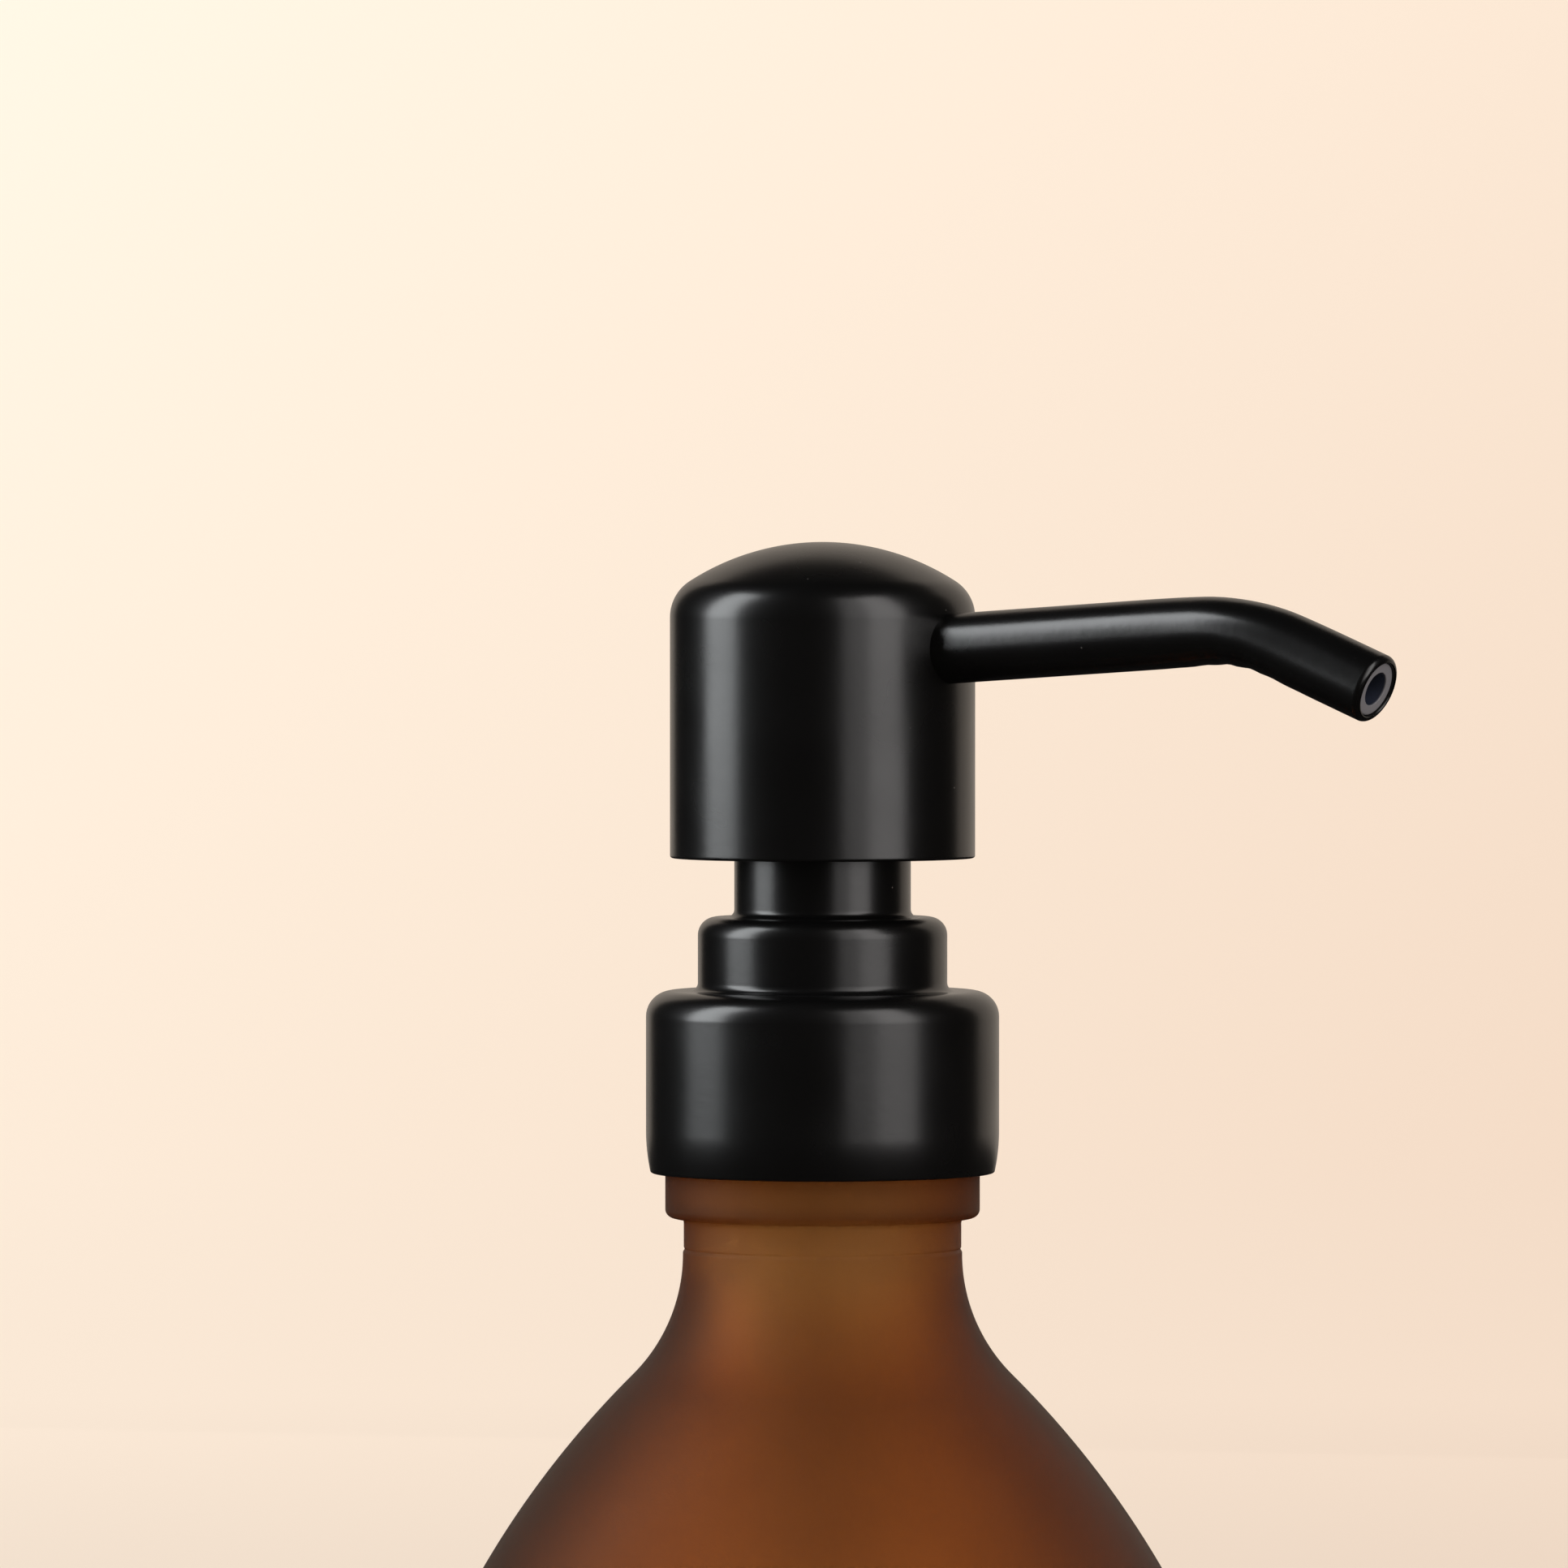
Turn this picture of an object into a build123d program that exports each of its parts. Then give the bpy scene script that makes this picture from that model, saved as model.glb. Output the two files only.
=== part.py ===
from build123d import *
import os
from math import cos, radians, sin, sqrt, tan

# Soap pump dispenser: a frosted glass bottle with a metal-clad, lock-down lotion pump.
# Millimetres. The bottle stands on Z = 0, its axis is the Z axis, and the spout points along +X.

# ---- Fits -------------------------------------------------------------------------------------
run_gap = 0.06      # radial clearance of a piece that slides or turns in another
axial_gap = 0.05    # end clearance of a piece that turns between two faces
pass_gap = 0.3      # clearance of pieces that only pass each other

# ---- Bottle -----------------------------------------------------------------------------------
bottle_height = 168.0
body_radius = 40.0
glass_wall = 2.6
base_thickness = 4.5
heel_radius = 7.0
push_up = 2.5               # rise of the hollow under the base
foot_width = 5.0            # flat ring the bottle stands on
low_shoulder_radius = 61.0
high_shoulder_radius = 88.0
shoulder_break = radians(30.5)  # slope of the wall, from upright, where the two shoulder arcs meet
neck_radius = 13.05
neck_sweep_radius = 16.0
neck_land = 3.4             # upright neck under the bead
mouth_radius = 9.3          # bore of the neck
bore_sweep_radius = 16.0
bead_radius = 14.7
bead_height = 6.4
finish_radius = 12.55       # outside of the neck between its threads
finish_height = 10.0        # bead to mouth
glass_corner = 0.5          # rounds of the glass: plain corners, bead, mouth outside and mouth inside
bead_round = 0.8
mouth_round = 0.9
bore_round = 0.7

# ---- Screw thread of the neck (28 mm, 400 finish) ---------------------------------------------
thread_pitch = 25.4 / 6
thread_turns = 1.1
thread_depth = 1.15
thread_root = 2.3           # axial width at the foot of the ridge
thread_crest = 1.1
thread_drop = 7.4           # mouth down to the start of the ridge
nut_thread_root = 1.5
nut_thread_crest = 0.8
nut_thread_turns = 1.0

# ---- Collar shell, pressed from one sheet -----------------------------------------------------
shell_wall = 0.6
skirt_radius = 16.5
skirt_height = 17.0
skirt_round = 2.4
tuck = 0.42                 # how far the skirt's foot turns in
tuck_height = 2.25
tuck_round = 22.0
step_radius = 11.65
step_height = 6.9
step_round = 1.7
sleeve_radius = 8.25
sleeve_height = 6.3
junction_round = 0.7        # hollow rounds where the sheet turns up

# ---- Closure nut and gasket -------------------------------------------------------------------
nut_top_wall = 1.45
nut_lift = 0.6              # bead to the nut's foot
gasket_thickness = 1.2
gasket_width = 3.9

# ---- Pump engine ------------------------------------------------------------------------------
flange_radius = 12.5
flange_thickness = 1.5
barrel_bore = 6.3
barrel_wall = 1.5
barrel_length = 44.0        # flange's underside to the spring's floor
hub_wall = 1.7              # wall of the neck that the nut turns on
ball_radius = 2.4
ball_travel = 1.5
chamber_gap = 0.5           # ball to its chamber's wall
nib_reach = 0.7             # how far each nib stands into the chamber
nib_height = 0.8
inlet_radius = 1.7
seat_angle = radians(50)
seat_gap = 0.02
chamber_wall = 1.6
socket_depth = 11.0
vent_radius = 0.5
dip_radius = 3.2
dip_wall = 0.9
dip_clearance = 6.0         # floor of the bottle to the tip of the tube
chaplet_flange = 1.8
chaplet_radius = 7.35
chaplet_wall = 1.05
chaplet_plug = 5.0
chaplet_plug_wall = 1.3
chaplet_top_drop = 0.5      # sleeve's rim down to the chaplet's rim
seal_height = 3.8
seal_lip = 0.9

# ---- Plunger ----------------------------------------------------------------------------------
stroke = 10.5
lock_turn_drop = 1.9        # what is left for the lock-down thread
stem_radius = 3.75
stem_bore = 2.0
stem_shoulder = 0.95        # how far the shoulder stands out over the piston
stem_shoulder_height = 1.1
spigot_radius = 3.1         # lower end of the stem, where the piston floats
piston_height = 6.6
piston_float = 0.9
piston_hub_wall = 1.2
piston_ring = 1.0
piston_web = 1.4
piston_lip = 1.0            # lips are cut back from the hub's ends by this much
port_radius = 0.8
poppet_flange = 4.4
poppet_flange_height = 1.9
poppet_nose = 2.2
poppet_nose_length = 3.0
poppet_plug_length = 4.5
spring_wire = 0.8
spring_radius = 3.8
spring_turns = 8.0

# ---- Lock-down thread between the head core and the chaplet -----------------------------------
lock_pitch = 3.0
lock_turns = 0.9
lock_root = 1.4
lock_crest = 0.7
lock_depth = 0.45
boss_radius = 5.55

# ---- Head -------------------------------------------------------------------------------------
head_radius = 14.25
head_height = 29.5
crown_radius = 22.9
crown_round = 4.0
core_skirt_wall = 1.8
core_skirt_height = 11.0
core_web = 2.4
core_hub_radius = 8.0
core_rib = 1.2
core_ribs = 6
boss_length = 8.6
passage_radius = 2.0

# ---- Spout ------------------------------------------------------------------------------------
spout_radius = 3.25
spout_wall = 0.65
liner_wall = 1.0
spout_height = 18.7         # head's rim up to the spout's axis, at the head's axis
spout_rise = radians(3.65)
spout_droop = radians(22.0)
spout_reach = 46.0          # head's axis to the bend
spout_tip = 59.8            # head's axis to the mouth
spout_bend = 24.0
spout_root = 6.5            # head's axis to the tube's inner end
spout_lip_round = 0.45
socket_wall = 1.3

# ---- Levels worked out from the sizes ---------------------------------------------------------
mouth_z = bottle_height
bead_top_z = mouth_z - finish_height
bead_bottom_z = bead_top_z - bead_height
neck_foot_z = bead_bottom_z - neck_land
inner_floor_z = base_thickness + push_up

flange_bottom_z = mouth_z + gasket_thickness
flange_top_z = flange_bottom_z + flange_thickness
nut_top_z = flange_top_z + axial_gap + nut_top_wall
nut_bottom_z = bead_top_z + nut_lift
chaplet_flange_z = nut_top_z + axial_gap
skirt_top_z = nut_top_z + shell_wall
skirt_bottom_z = skirt_top_z - skirt_height
step_top_z = skirt_top_z + step_height
sleeve_top_z = step_top_z + sleeve_height
chaplet_top_z = sleeve_top_z - chaplet_top_drop

rim_z = skirt_top_z + stroke + lock_turn_drop
apex_z = rim_z + head_height
spout_z = rim_z + spout_height
stem_top_z = spout_z - spout_radius + pass_gap

barrel_radius = barrel_bore + barrel_wall
hub_radius = barrel_bore + hub_wall
floor_z = flange_bottom_z - barrel_length
chamber_radius = ball_radius + chamber_gap
nib_radius = chamber_radius - nib_reach
nib_bottom_z = floor_z - pass_gap - nib_height
ball_z = nib_bottom_z - sqrt(ball_radius**2 - nib_radius**2) - axial_gap - ball_travel
seat_z = ball_z - (ball_radius + seat_gap - inlet_radius * sin(seat_angle)) / cos(seat_angle)
seat_top_z = seat_z + (chamber_radius - inlet_radius) * tan(seat_angle)
socket_top_z = seat_z - 1.2
socket_bottom_z = socket_top_z - socket_depth

seal_top_z = chaplet_flange_z - chaplet_plug
seal_bottom_z = seal_top_z - seal_height
shoulder_top_z = seal_bottom_z - 2 * axial_gap
shoulder_bottom_z = shoulder_top_z - stem_shoulder_height
piston_top_z = shoulder_bottom_z - piston_float - 2 * axial_gap
piston_bottom_z = piston_top_z - piston_height
poppet_top_z = piston_bottom_z - axial_gap
spring_top_z = poppet_top_z - poppet_flange_height

boss_thread_z = chaplet_top_z + stroke
core_bottom_z = boss_thread_z + lock_pitch * lock_turns + lock_root / 2
boss_bottom_z = core_bottom_z - boss_length


# ---- Helpers ----------------------------------------------------------------------------------
def turned(*corners):
    """Turn an outline about Z. A corner is (radius, height) or (radius, height, round)."""
    points = [corner[:2] for corner in corners]
    rounds = [corner[2] if len(corner) == 3 else 0 for corner in corners]
    outline = FilletPolyline(*points, radius=rounds, close=True)
    return revolve(Plane.XZ * make_face(outline), Axis.Z)


def ring(inner, outer, bottom, top):
    """Plain ring between two radii and two heights."""
    return turned((inner, bottom), (outer, bottom), (outer, top), (inner, top))


def disc(radius, bottom, top):
    """Plain round slug on the Z axis."""
    return Pos(0, 0, bottom) * extrude(Circle(radius), top - bottom)


def arc_about(centre, start, end):
    """Short arc from start to end about a centre, all in the (radius, height) plane."""
    centre = Vector(*centre)
    start = Vector(*start)
    chord_middle = (start + Vector(*end)) / 2
    middle = centre + (chord_middle - centre).normalized() * (start - centre).length
    return ThreePointArc(start, middle, end)


def helical_ridge(radius, depth, root, crest, pitch, turns, start_z):
    """Screw ridge on a wall: it stands out by depth, or inwards when depth is negative."""
    path = Helix(pitch, pitch * turns, radius, center=(0, 0, start_z))
    sunk = -0.2 if depth > 0 else 0.2
    outline = Polyline(
        (sunk, -root / 2),
        (depth, -crest / 2),
        (depth, crest / 2),
        (sunk, root / 2),
        close=True,
    )
    section = Plane(origin=path @ 0, x_dir=(1, 0, 0), z_dir=path % 0) * make_face(outline)
    return sweep(section, path=path, is_frenet=True)


def export(shape, name):
    """Write one node."""
    export_step(shape, f"parts/{name}.step")


# ---- Bottle -----------------------------------------------------------------------------------
def wall_arcs(inset, neck, sweep_radius, heel):
    """Edges of the bottle's wall from the heel up to the neck, moved inwards by inset."""
    body = body_radius - inset
    low = low_shoulder_radius - inset
    high = high_shoulder_radius - inset
    spread = high_shoulder_radius - low_shoulder_radius
    high_x = body_radius - low_shoulder_radius - spread * cos(shoulder_break)
    outer_reach = high_shoulder_radius + neck_sweep_radius
    outer_run = neck_radius + neck_sweep_radius - high_x
    high_z = neck_foot_z - sqrt(outer_reach**2 - outer_run**2)
    high_centre = Vector(high_x, high_z)
    slope = Vector(cos(shoulder_break), sin(shoulder_break))
    low_centre = high_centre + slope * spread

    run = neck + sweep_radius - high_x
    sweep_z = high_z + sqrt((high + sweep_radius)**2 - run**2)
    sweep_centre = Vector(neck + sweep_radius, sweep_z)
    neck_foot = Vector(neck, sweep_z)
    shoulder_top = high_centre + (sweep_centre - high_centre).normalized() * high
    shoulder_middle = high_centre + slope * high
    body_top = Vector(body, low_centre.Y)
    heel_z = inset + heel if inset == 0 else base_thickness + heel
    heel_top = Vector(body, heel_z)
    heel_centre = Vector(body - heel, heel_z)
    heel_foot = Vector(body - heel, heel_z - heel)
    edges = [
        arc_about(heel_centre, heel_foot, heel_top),
        Line(heel_top, body_top),
        arc_about(low_centre, body_top, shoulder_middle),
        arc_about(high_centre, shoulder_middle, shoulder_top),
        arc_about(sweep_centre, shoulder_top, neck_foot),
    ]
    return edges, heel_foot, neck_foot


def bottle():
    """Glass bottle with its bead and screw ridge."""
    outside, outer_foot, outer_neck = wall_arcs(0, neck_radius, neck_sweep_radius, heel_radius)
    inside, inner_foot, inner_neck = wall_arcs(
        glass_wall, mouth_radius, bore_sweep_radius, heel_radius - glass_wall
    )
    finish = FilletPolyline(
        outer_neck,
        (neck_radius, bead_bottom_z),
        (bead_radius, bead_bottom_z),
        (bead_radius, bead_top_z),
        (finish_radius, bead_top_z),
        (finish_radius, mouth_z),
        (mouth_radius, mouth_z),
        inner_neck,
        radius=[glass_corner, bead_round, glass_corner, glass_corner, mouth_round, bore_round],
    )
    foot_inside = Vector(outer_foot.X - foot_width, 0)
    share = 0.6                 # of the way out, where a parabola has fallen by share squared
    fallen = push_up * share**2
    hollow_rise = ThreePointArc((0, push_up), (foot_inside.X * share, push_up - fallen), foot_inside)
    floor_rise = ThreePointArc(
        (0, inner_floor_z), (inner_foot.X * share, inner_floor_z - fallen), inner_foot
    )
    edges = [
        hollow_rise,
        Line(foot_inside, outer_foot),
        *outside,
        finish,
        *inside,
        floor_rise,
        Line((0, inner_floor_z), (0, push_up)),
    ]
    glass = revolve(Plane.XZ * make_face(edges), Axis.Z)
    ridge = helical_ridge(
        finish_radius, thread_depth, thread_root, thread_crest,
        thread_pitch, thread_turns, mouth_z - thread_drop,
    )
    return glass + ridge


# ---- Closure ----------------------------------------------------------------------------------
def collar_shell():
    """Skirt, step and sleeve drawn from one sheet."""
    outline = FilletPolyline(
        (skirt_radius - tuck, skirt_bottom_z),
        (skirt_radius, skirt_bottom_z + tuck_height),
        (skirt_radius, skirt_top_z),
        (step_radius, skirt_top_z),
        (step_radius, step_top_z),
        (sleeve_radius, step_top_z),
        (sleeve_radius, sleeve_top_z),
        radius=[tuck_round, skirt_round, junction_round, step_round, junction_round],
    )
    sheet = offset(outline, amount=shell_wall, side=Side.LEFT)
    return revolve(Plane.XZ * make_face(sheet), Axis.Z)


def closure_nut():
    """Threaded nut that the collar shell is pressed over."""
    outside = skirt_radius - shell_wall
    thread_wall = finish_radius + thread_depth + pass_gap
    head_room = flange_radius + pass_gap
    body = turned(
        (thread_wall, nut_bottom_z, 0.3),
        (outside - 0.3, nut_bottom_z),
        (outside, nut_bottom_z + 3.0),
        (outside, nut_top_z, skirt_round - shell_wall),
        (hub_radius + run_gap, nut_top_z),
        (hub_radius + run_gap, flange_top_z + axial_gap),
        (head_room, flange_top_z + axial_gap),
        (head_room, mouth_z + pass_gap),
        (thread_wall, mouth_z + pass_gap),
    )
    crest = finish_radius + pass_gap
    ridge_z = nut_bottom_z + nut_thread_root / 2 + 0.1
    ridge = helical_ridge(
        thread_wall, crest - thread_wall, nut_thread_root, nut_thread_crest,
        thread_pitch, nut_thread_turns, ridge_z,
    )
    half_pitch_below_z = mouth_z - thread_drop - thread_pitch / 2
    start_angle = 360 * (ridge_z - half_pitch_below_z) / thread_pitch
    return body + Rot(0, 0, start_angle) * ridge


def neck_gasket():
    """Foam ring on the bottle's rim."""
    return ring(flange_radius - gasket_width, flange_radius, mouth_z, flange_bottom_z)


# ---- Pump engine ------------------------------------------------------------------------------
def pump_housing():
    """Barrel with its flange, ball chamber, seat and dip tube socket."""
    chamber_outside = chamber_radius + chamber_wall
    socket_outside = dip_radius + chamber_wall
    body = turned(
        (barrel_bore, floor_z, 0.4),
        (barrel_bore, chaplet_flange_z),
        (hub_radius, chaplet_flange_z, 0.2),
        (hub_radius, flange_top_z),
        (flange_radius, flange_top_z, 0.3),
        (flange_radius, flange_bottom_z, 0.3),
        (barrel_radius, flange_bottom_z),
        (barrel_radius, floor_z - barrel_wall, 1.6),
        (chamber_outside, floor_z - barrel_wall - 2.0, 0.6),
        (chamber_outside, seat_z, 0.4),
        (socket_outside, seat_z - 1.0, 0.4),
        (socket_outside, socket_bottom_z, 0.4),
        (dip_radius, socket_bottom_z, 0.3),
        (dip_radius, socket_top_z),
        (inlet_radius, socket_top_z),
        (inlet_radius, seat_z),
        (chamber_radius, seat_top_z),
        (chamber_radius, floor_z),
    )
    nib = Pos(chamber_radius, 0, nib_bottom_z + nib_height / 2) * Box(2 * nib_reach, 1.2, nib_height)
    for turn in range(3):
        body += Rot(0, 0, 120 * turn) * nib
    vent_z = seal_bottom_z - 1.5
    vent = Pos(barrel_radius, 0, vent_z) * Rot(0, 90, 0) * Cylinder(vent_radius, 4 * barrel_wall)
    return body - vent


def chaplet():
    """Lock ring: plugged into the barrel, it keeps the nut on and guides the stem."""
    guide = stem_radius + run_gap
    throat = chaplet_radius - chaplet_wall
    flange = step_radius - shell_wall - pass_gap
    body = turned(
        (guide, chaplet_flange_z),
        (barrel_bore - chaplet_plug_wall, chaplet_flange_z),
        (barrel_bore - chaplet_plug_wall, seal_top_z),
        (barrel_bore, seal_top_z, 0.3),
        (barrel_bore, chaplet_flange_z),
        (flange, chaplet_flange_z, 0.3),
        (flange, chaplet_flange_z + chaplet_flange, 0.5),
        (chaplet_radius, chaplet_flange_z + chaplet_flange, 0.4),
        (chaplet_radius, chaplet_top_z, 0.3),
        (throat, chaplet_top_z, 0.3),
        (throat, chaplet_flange_z + chaplet_flange, 0.5),
        (guide, chaplet_flange_z + chaplet_flange, 0.3),
    )
    top = chaplet_top_z - lock_root
    ridge = helical_ridge(
        throat, -lock_depth, lock_root, lock_crest,
        lock_pitch, lock_turns, top - lock_pitch * lock_turns,
    )
    return body + ridge


def stem_seal():
    """Rubber wiper held under the chaplet, with a lip on the stem."""
    lip = stem_radius + run_gap
    return turned(
        (lip, seal_bottom_z, 0.15),
        (lip + seal_lip, seal_bottom_z, 0.15),
        (lip + seal_lip, seal_top_z - 1.4, 0.3),
        (barrel_bore - 0.8, seal_top_z - 1.4, 0.3),
        (barrel_bore - 0.8, seal_bottom_z, 0.15),
        (barrel_bore, seal_bottom_z, 0.15),
        (barrel_bore, seal_top_z),
        (lip, seal_top_z),
    )


def dip_tube():
    """Tube from the socket down to the bottle's floor, cut at a slant."""
    tip_z = inner_floor_z + dip_clearance
    tube = ring(dip_radius - dip_wall, dip_radius, tip_z, socket_top_z)
    block = 8 * dip_radius
    below_slant = Pos(0, 0, tip_z + dip_radius) * Rot(0, 45, 0) * Pos(0, 0, -block / 2)
    return tube - below_slant * Box(block, block, block)


def inlet_ball():
    """Steel check ball."""
    return Pos(0, 0, ball_z) * Sphere(ball_radius)


# ---- Plunger ----------------------------------------------------------------------------------
def stem():
    """Hollow rod with the shoulder that drives the piston and two inlet ports."""
    body = turned(
        (stem_bore, poppet_top_z),
        (spigot_radius, poppet_top_z, 0.2),
        (spigot_radius, shoulder_bottom_z),
        (stem_radius + stem_shoulder, shoulder_bottom_z, 0.2),
        (stem_radius + stem_shoulder, shoulder_top_z, 0.2),
        (stem_radius, shoulder_top_z),
        (stem_radius, stem_top_z, 0.3),
        (stem_bore, stem_top_z, 0.3),
    )
    port_z = piston_bottom_z + piston_lip + port_radius + 0.3
    port = Pos(0, 0, port_z) * Rot(0, 90, 0) * Cylinder(port_radius, 4 * spigot_radius)
    return body - port


def poppet():
    """Valve rod: plugged into the stem, its flange is the piston's seat and the spring's top."""
    plug_top = poppet_top_z + poppet_plug_length
    body = turned(
        (0, spring_top_z - poppet_nose_length),
        (poppet_nose, spring_top_z - poppet_nose_length, 0.6),
        (poppet_nose, spring_top_z, 0.2),
        (poppet_flange, spring_top_z, 0.2),
        (poppet_flange, poppet_top_z, 0.3),
        (stem_bore, poppet_top_z),
        (stem_bore, plug_top, 0.4),
        (0, plug_top),
    )
    slot = Pos(0, 0, poppet_top_z + poppet_plug_length / 2 + 0.6) * Box(
        2 * stem_bore + 1, 1.4, poppet_plug_length
    )
    return body - slot


def piston():
    """Floating ring with a lip at each end."""
    hub = spigot_radius + run_gap
    hub_outside = hub + piston_hub_wall
    wall = barrel_bore - run_gap
    ring_inside = wall - piston_ring
    low = piston_bottom_z + piston_lip
    high = piston_top_z - piston_lip
    web_low = (piston_bottom_z + piston_top_z - piston_web) / 2
    web_high = web_low + piston_web
    waist = wall - 0.25
    return turned(
        (hub, piston_bottom_z, 0.15),
        (hub_outside, piston_bottom_z, 0.3),
        (hub_outside, web_low, 0.3),
        (ring_inside, web_low, 0.3),
        (ring_inside + 0.3, low, 0.1),
        (wall, low, 0.1),
        (waist, low + 1.0),
        (waist, high - 1.0),
        (wall, high, 0.1),
        (ring_inside + 0.3, high, 0.1),
        (ring_inside, web_high, 0.3),
        (hub_outside, web_high, 0.3),
        (hub_outside, piston_top_z, 0.3),
        (hub, piston_top_z, 0.15),
    )


def spring():
    """Return spring between the barrel's floor and the poppet."""
    length = spring_top_z - floor_z - spring_wire
    pitch = length / spring_turns
    path = Helix(pitch, length, spring_radius, center=(0, 0, floor_z + spring_wire / 2))
    section = Plane(origin=path @ 0, z_dir=path % 0) * Circle(spring_wire / 2)
    return sweep(section, path=path, is_frenet=True)


# ---- Spout and head ---------------------------------------------------------------------------
def spout_line(start, end_trim):
    """Centre line of the spout from a distance off the head's axis to its mouth."""
    def on_rise(reach):
        return Vector(reach, 0, spout_z + reach * tan(spout_rise))

    bend = on_rise(spout_reach)
    fall = Vector(cos(spout_droop), 0, -sin(spout_droop))
    droop_length = (spout_tip - spout_reach) / cos(spout_droop) - end_trim
    return FilletPolyline(on_rise(start), bend, bend + fall * droop_length, radius=spout_bend)


def pipe(path, outer, inner):
    """Round pipe along a path."""
    section = Plane(origin=path @ 0, z_dir=path % 0) * (Circle(outer) - Circle(inner))
    return sweep(section, path=path)


def rod(path, radius):
    """Round bar along a path."""
    section = Plane(origin=path @ 0, z_dir=path % 0) * Circle(radius)
    return sweep(section, path=path)


def spout_tube():
    """Bent metal tube with a rounded lip."""
    path = spout_line(spout_root, 0)
    tube = pipe(path, spout_radius, spout_radius - spout_wall)
    mouth = tube.edges().filter_by(GeomType.CIRCLE).sort_by_distance(path @ 1)[0:2]
    lip = mouth.sort_by(SortBy.RADIUS)[-1]
    return fillet(lip, spout_lip_round)


def spout_liner():
    """Plastic tube inside the spout, which carries the soap."""
    outer = spout_radius - spout_wall
    return pipe(spout_line(spout_root, spout_lip_round / 2), outer, outer - liner_wall)


def head_shell():
    """Domed cap with a hole for the spout."""
    crown_centre = Vector(0, apex_z - crown_radius)
    round_x = head_radius - crown_round
    round_z = crown_centre.Y + sqrt((crown_radius - crown_round)**2 - round_x**2)
    round_centre = Vector(round_x, round_z)
    crown_end = crown_centre + (round_centre - crown_centre).normalized() * crown_radius
    wall_top = Vector(head_radius, round_z)
    rim = Vector(head_radius, rim_z)
    inner_crown = crown_radius - shell_wall
    inner_end = crown_centre + (round_centre - crown_centre).normalized() * inner_crown
    inner_top = Vector(head_radius - shell_wall, round_z)
    edges = [
        arc_about(crown_centre, (0, apex_z), crown_end),
        arc_about(round_centre, crown_end, wall_top),
        FilletPolyline(
            wall_top,
            rim,
            (head_radius - shell_wall, rim_z),
            inner_top,
            radius=[0.22, 0.22],
        ),
        arc_about(round_centre, inner_top, inner_end),
        arc_about(crown_centre, inner_end, (0, apex_z - shell_wall)),
        Line((0, apex_z - shell_wall), (0, apex_z)),
    ]
    shell = revolve(Plane.XZ * make_face(edges), Axis.Z)
    return shell - rod(spout_line(spout_root, 0), spout_radius)


def head_core():
    """Plastic core: socket for the stem, passage to the spout, ribs and lock-down thread."""
    outside = head_radius - shell_wall
    crown_centre_z = apex_z - crown_radius
    top = crown_centre_z + sqrt((crown_radius - crown_round)**2 - (head_radius - crown_round)**2)
    core = disc(outside, top - core_web, top)
    core += ring(outside - core_skirt_wall, outside, top - core_skirt_height, top)
    core += disc(core_hub_radius, core_bottom_z, top)
    core += disc(boss_radius, boss_bottom_z, core_bottom_z)
    rib_height = top - core_bottom_z - 1.0
    rib_length = outside - core_skirt_wall / 2
    rib = Pos(rib_length / 2, 0, top - rib_height / 2) * Box(rib_length, core_rib, rib_height)
    for turn in range(core_ribs):
        core += Rot(0, 0, 360 / core_ribs * (turn + 0.5)) * rib

    along = Vector(cos(spout_rise), 0, sin(spout_rise))
    axis_point = Vector(0, 0, spout_z)
    tilt = Plane(origin=axis_point, z_dir=along)
    socket_length = head_radius + spout_radius
    socket = tilt * extrude(Circle(spout_radius + socket_wall), socket_length)
    core += socket & disc(outside, boss_bottom_z, top)
    core += helical_ridge(
        boss_radius, lock_depth + 0.05, lock_root, lock_crest,
        lock_pitch, lock_turns, boss_thread_z + lock_root / 2,
    )

    core -= rod(spout_line(spout_root, 0), spout_radius)
    core -= tilt * extrude(Circle(spout_radius - spout_wall - liner_wall), spout_root + 1)
    core -= disc(stem_radius, boss_bottom_z - 1, stem_top_z)
    core -= disc(passage_radius, stem_top_z - 1, spout_z)
    return core


os.makedirs("parts", exist_ok=True)
export(bottle(), "bottle")
export(collar_shell(), "collar_shell")
export(closure_nut(), "closure_nut")
export(neck_gasket(), "neck_gasket")
export(pump_housing(), "pump_housing")
export(chaplet(), "chaplet")
export(stem_seal(), "stem_seal")
export(dip_tube(), "dip_tube")
export(inlet_ball(), "inlet_ball")
export(stem(), "stem")
export(poppet(), "poppet")
export(piston(), "piston")
export(spring(), "spring")
export(head_shell(), "head_shell")
export(head_core(), "head_core")
export(spout_tube(), "spout_tube")
export(spout_liner(), "spout_liner")
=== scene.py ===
# %% [markdown]
# # A frosted amber soap bottle with a black lotion pump
# The exact model of the dispenser is already made: every piece, its size and its joints. Here we give it
# its looks. We load that model as a fixed frame, read sizes from it, and build smooth render pieces in the
# same place. Everything is in metres, the bottle's axis is Z and the spout points along +X.

# %% Load the frame
from math import atan2, cos, pi, radians, sin, sqrt, tan

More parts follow.
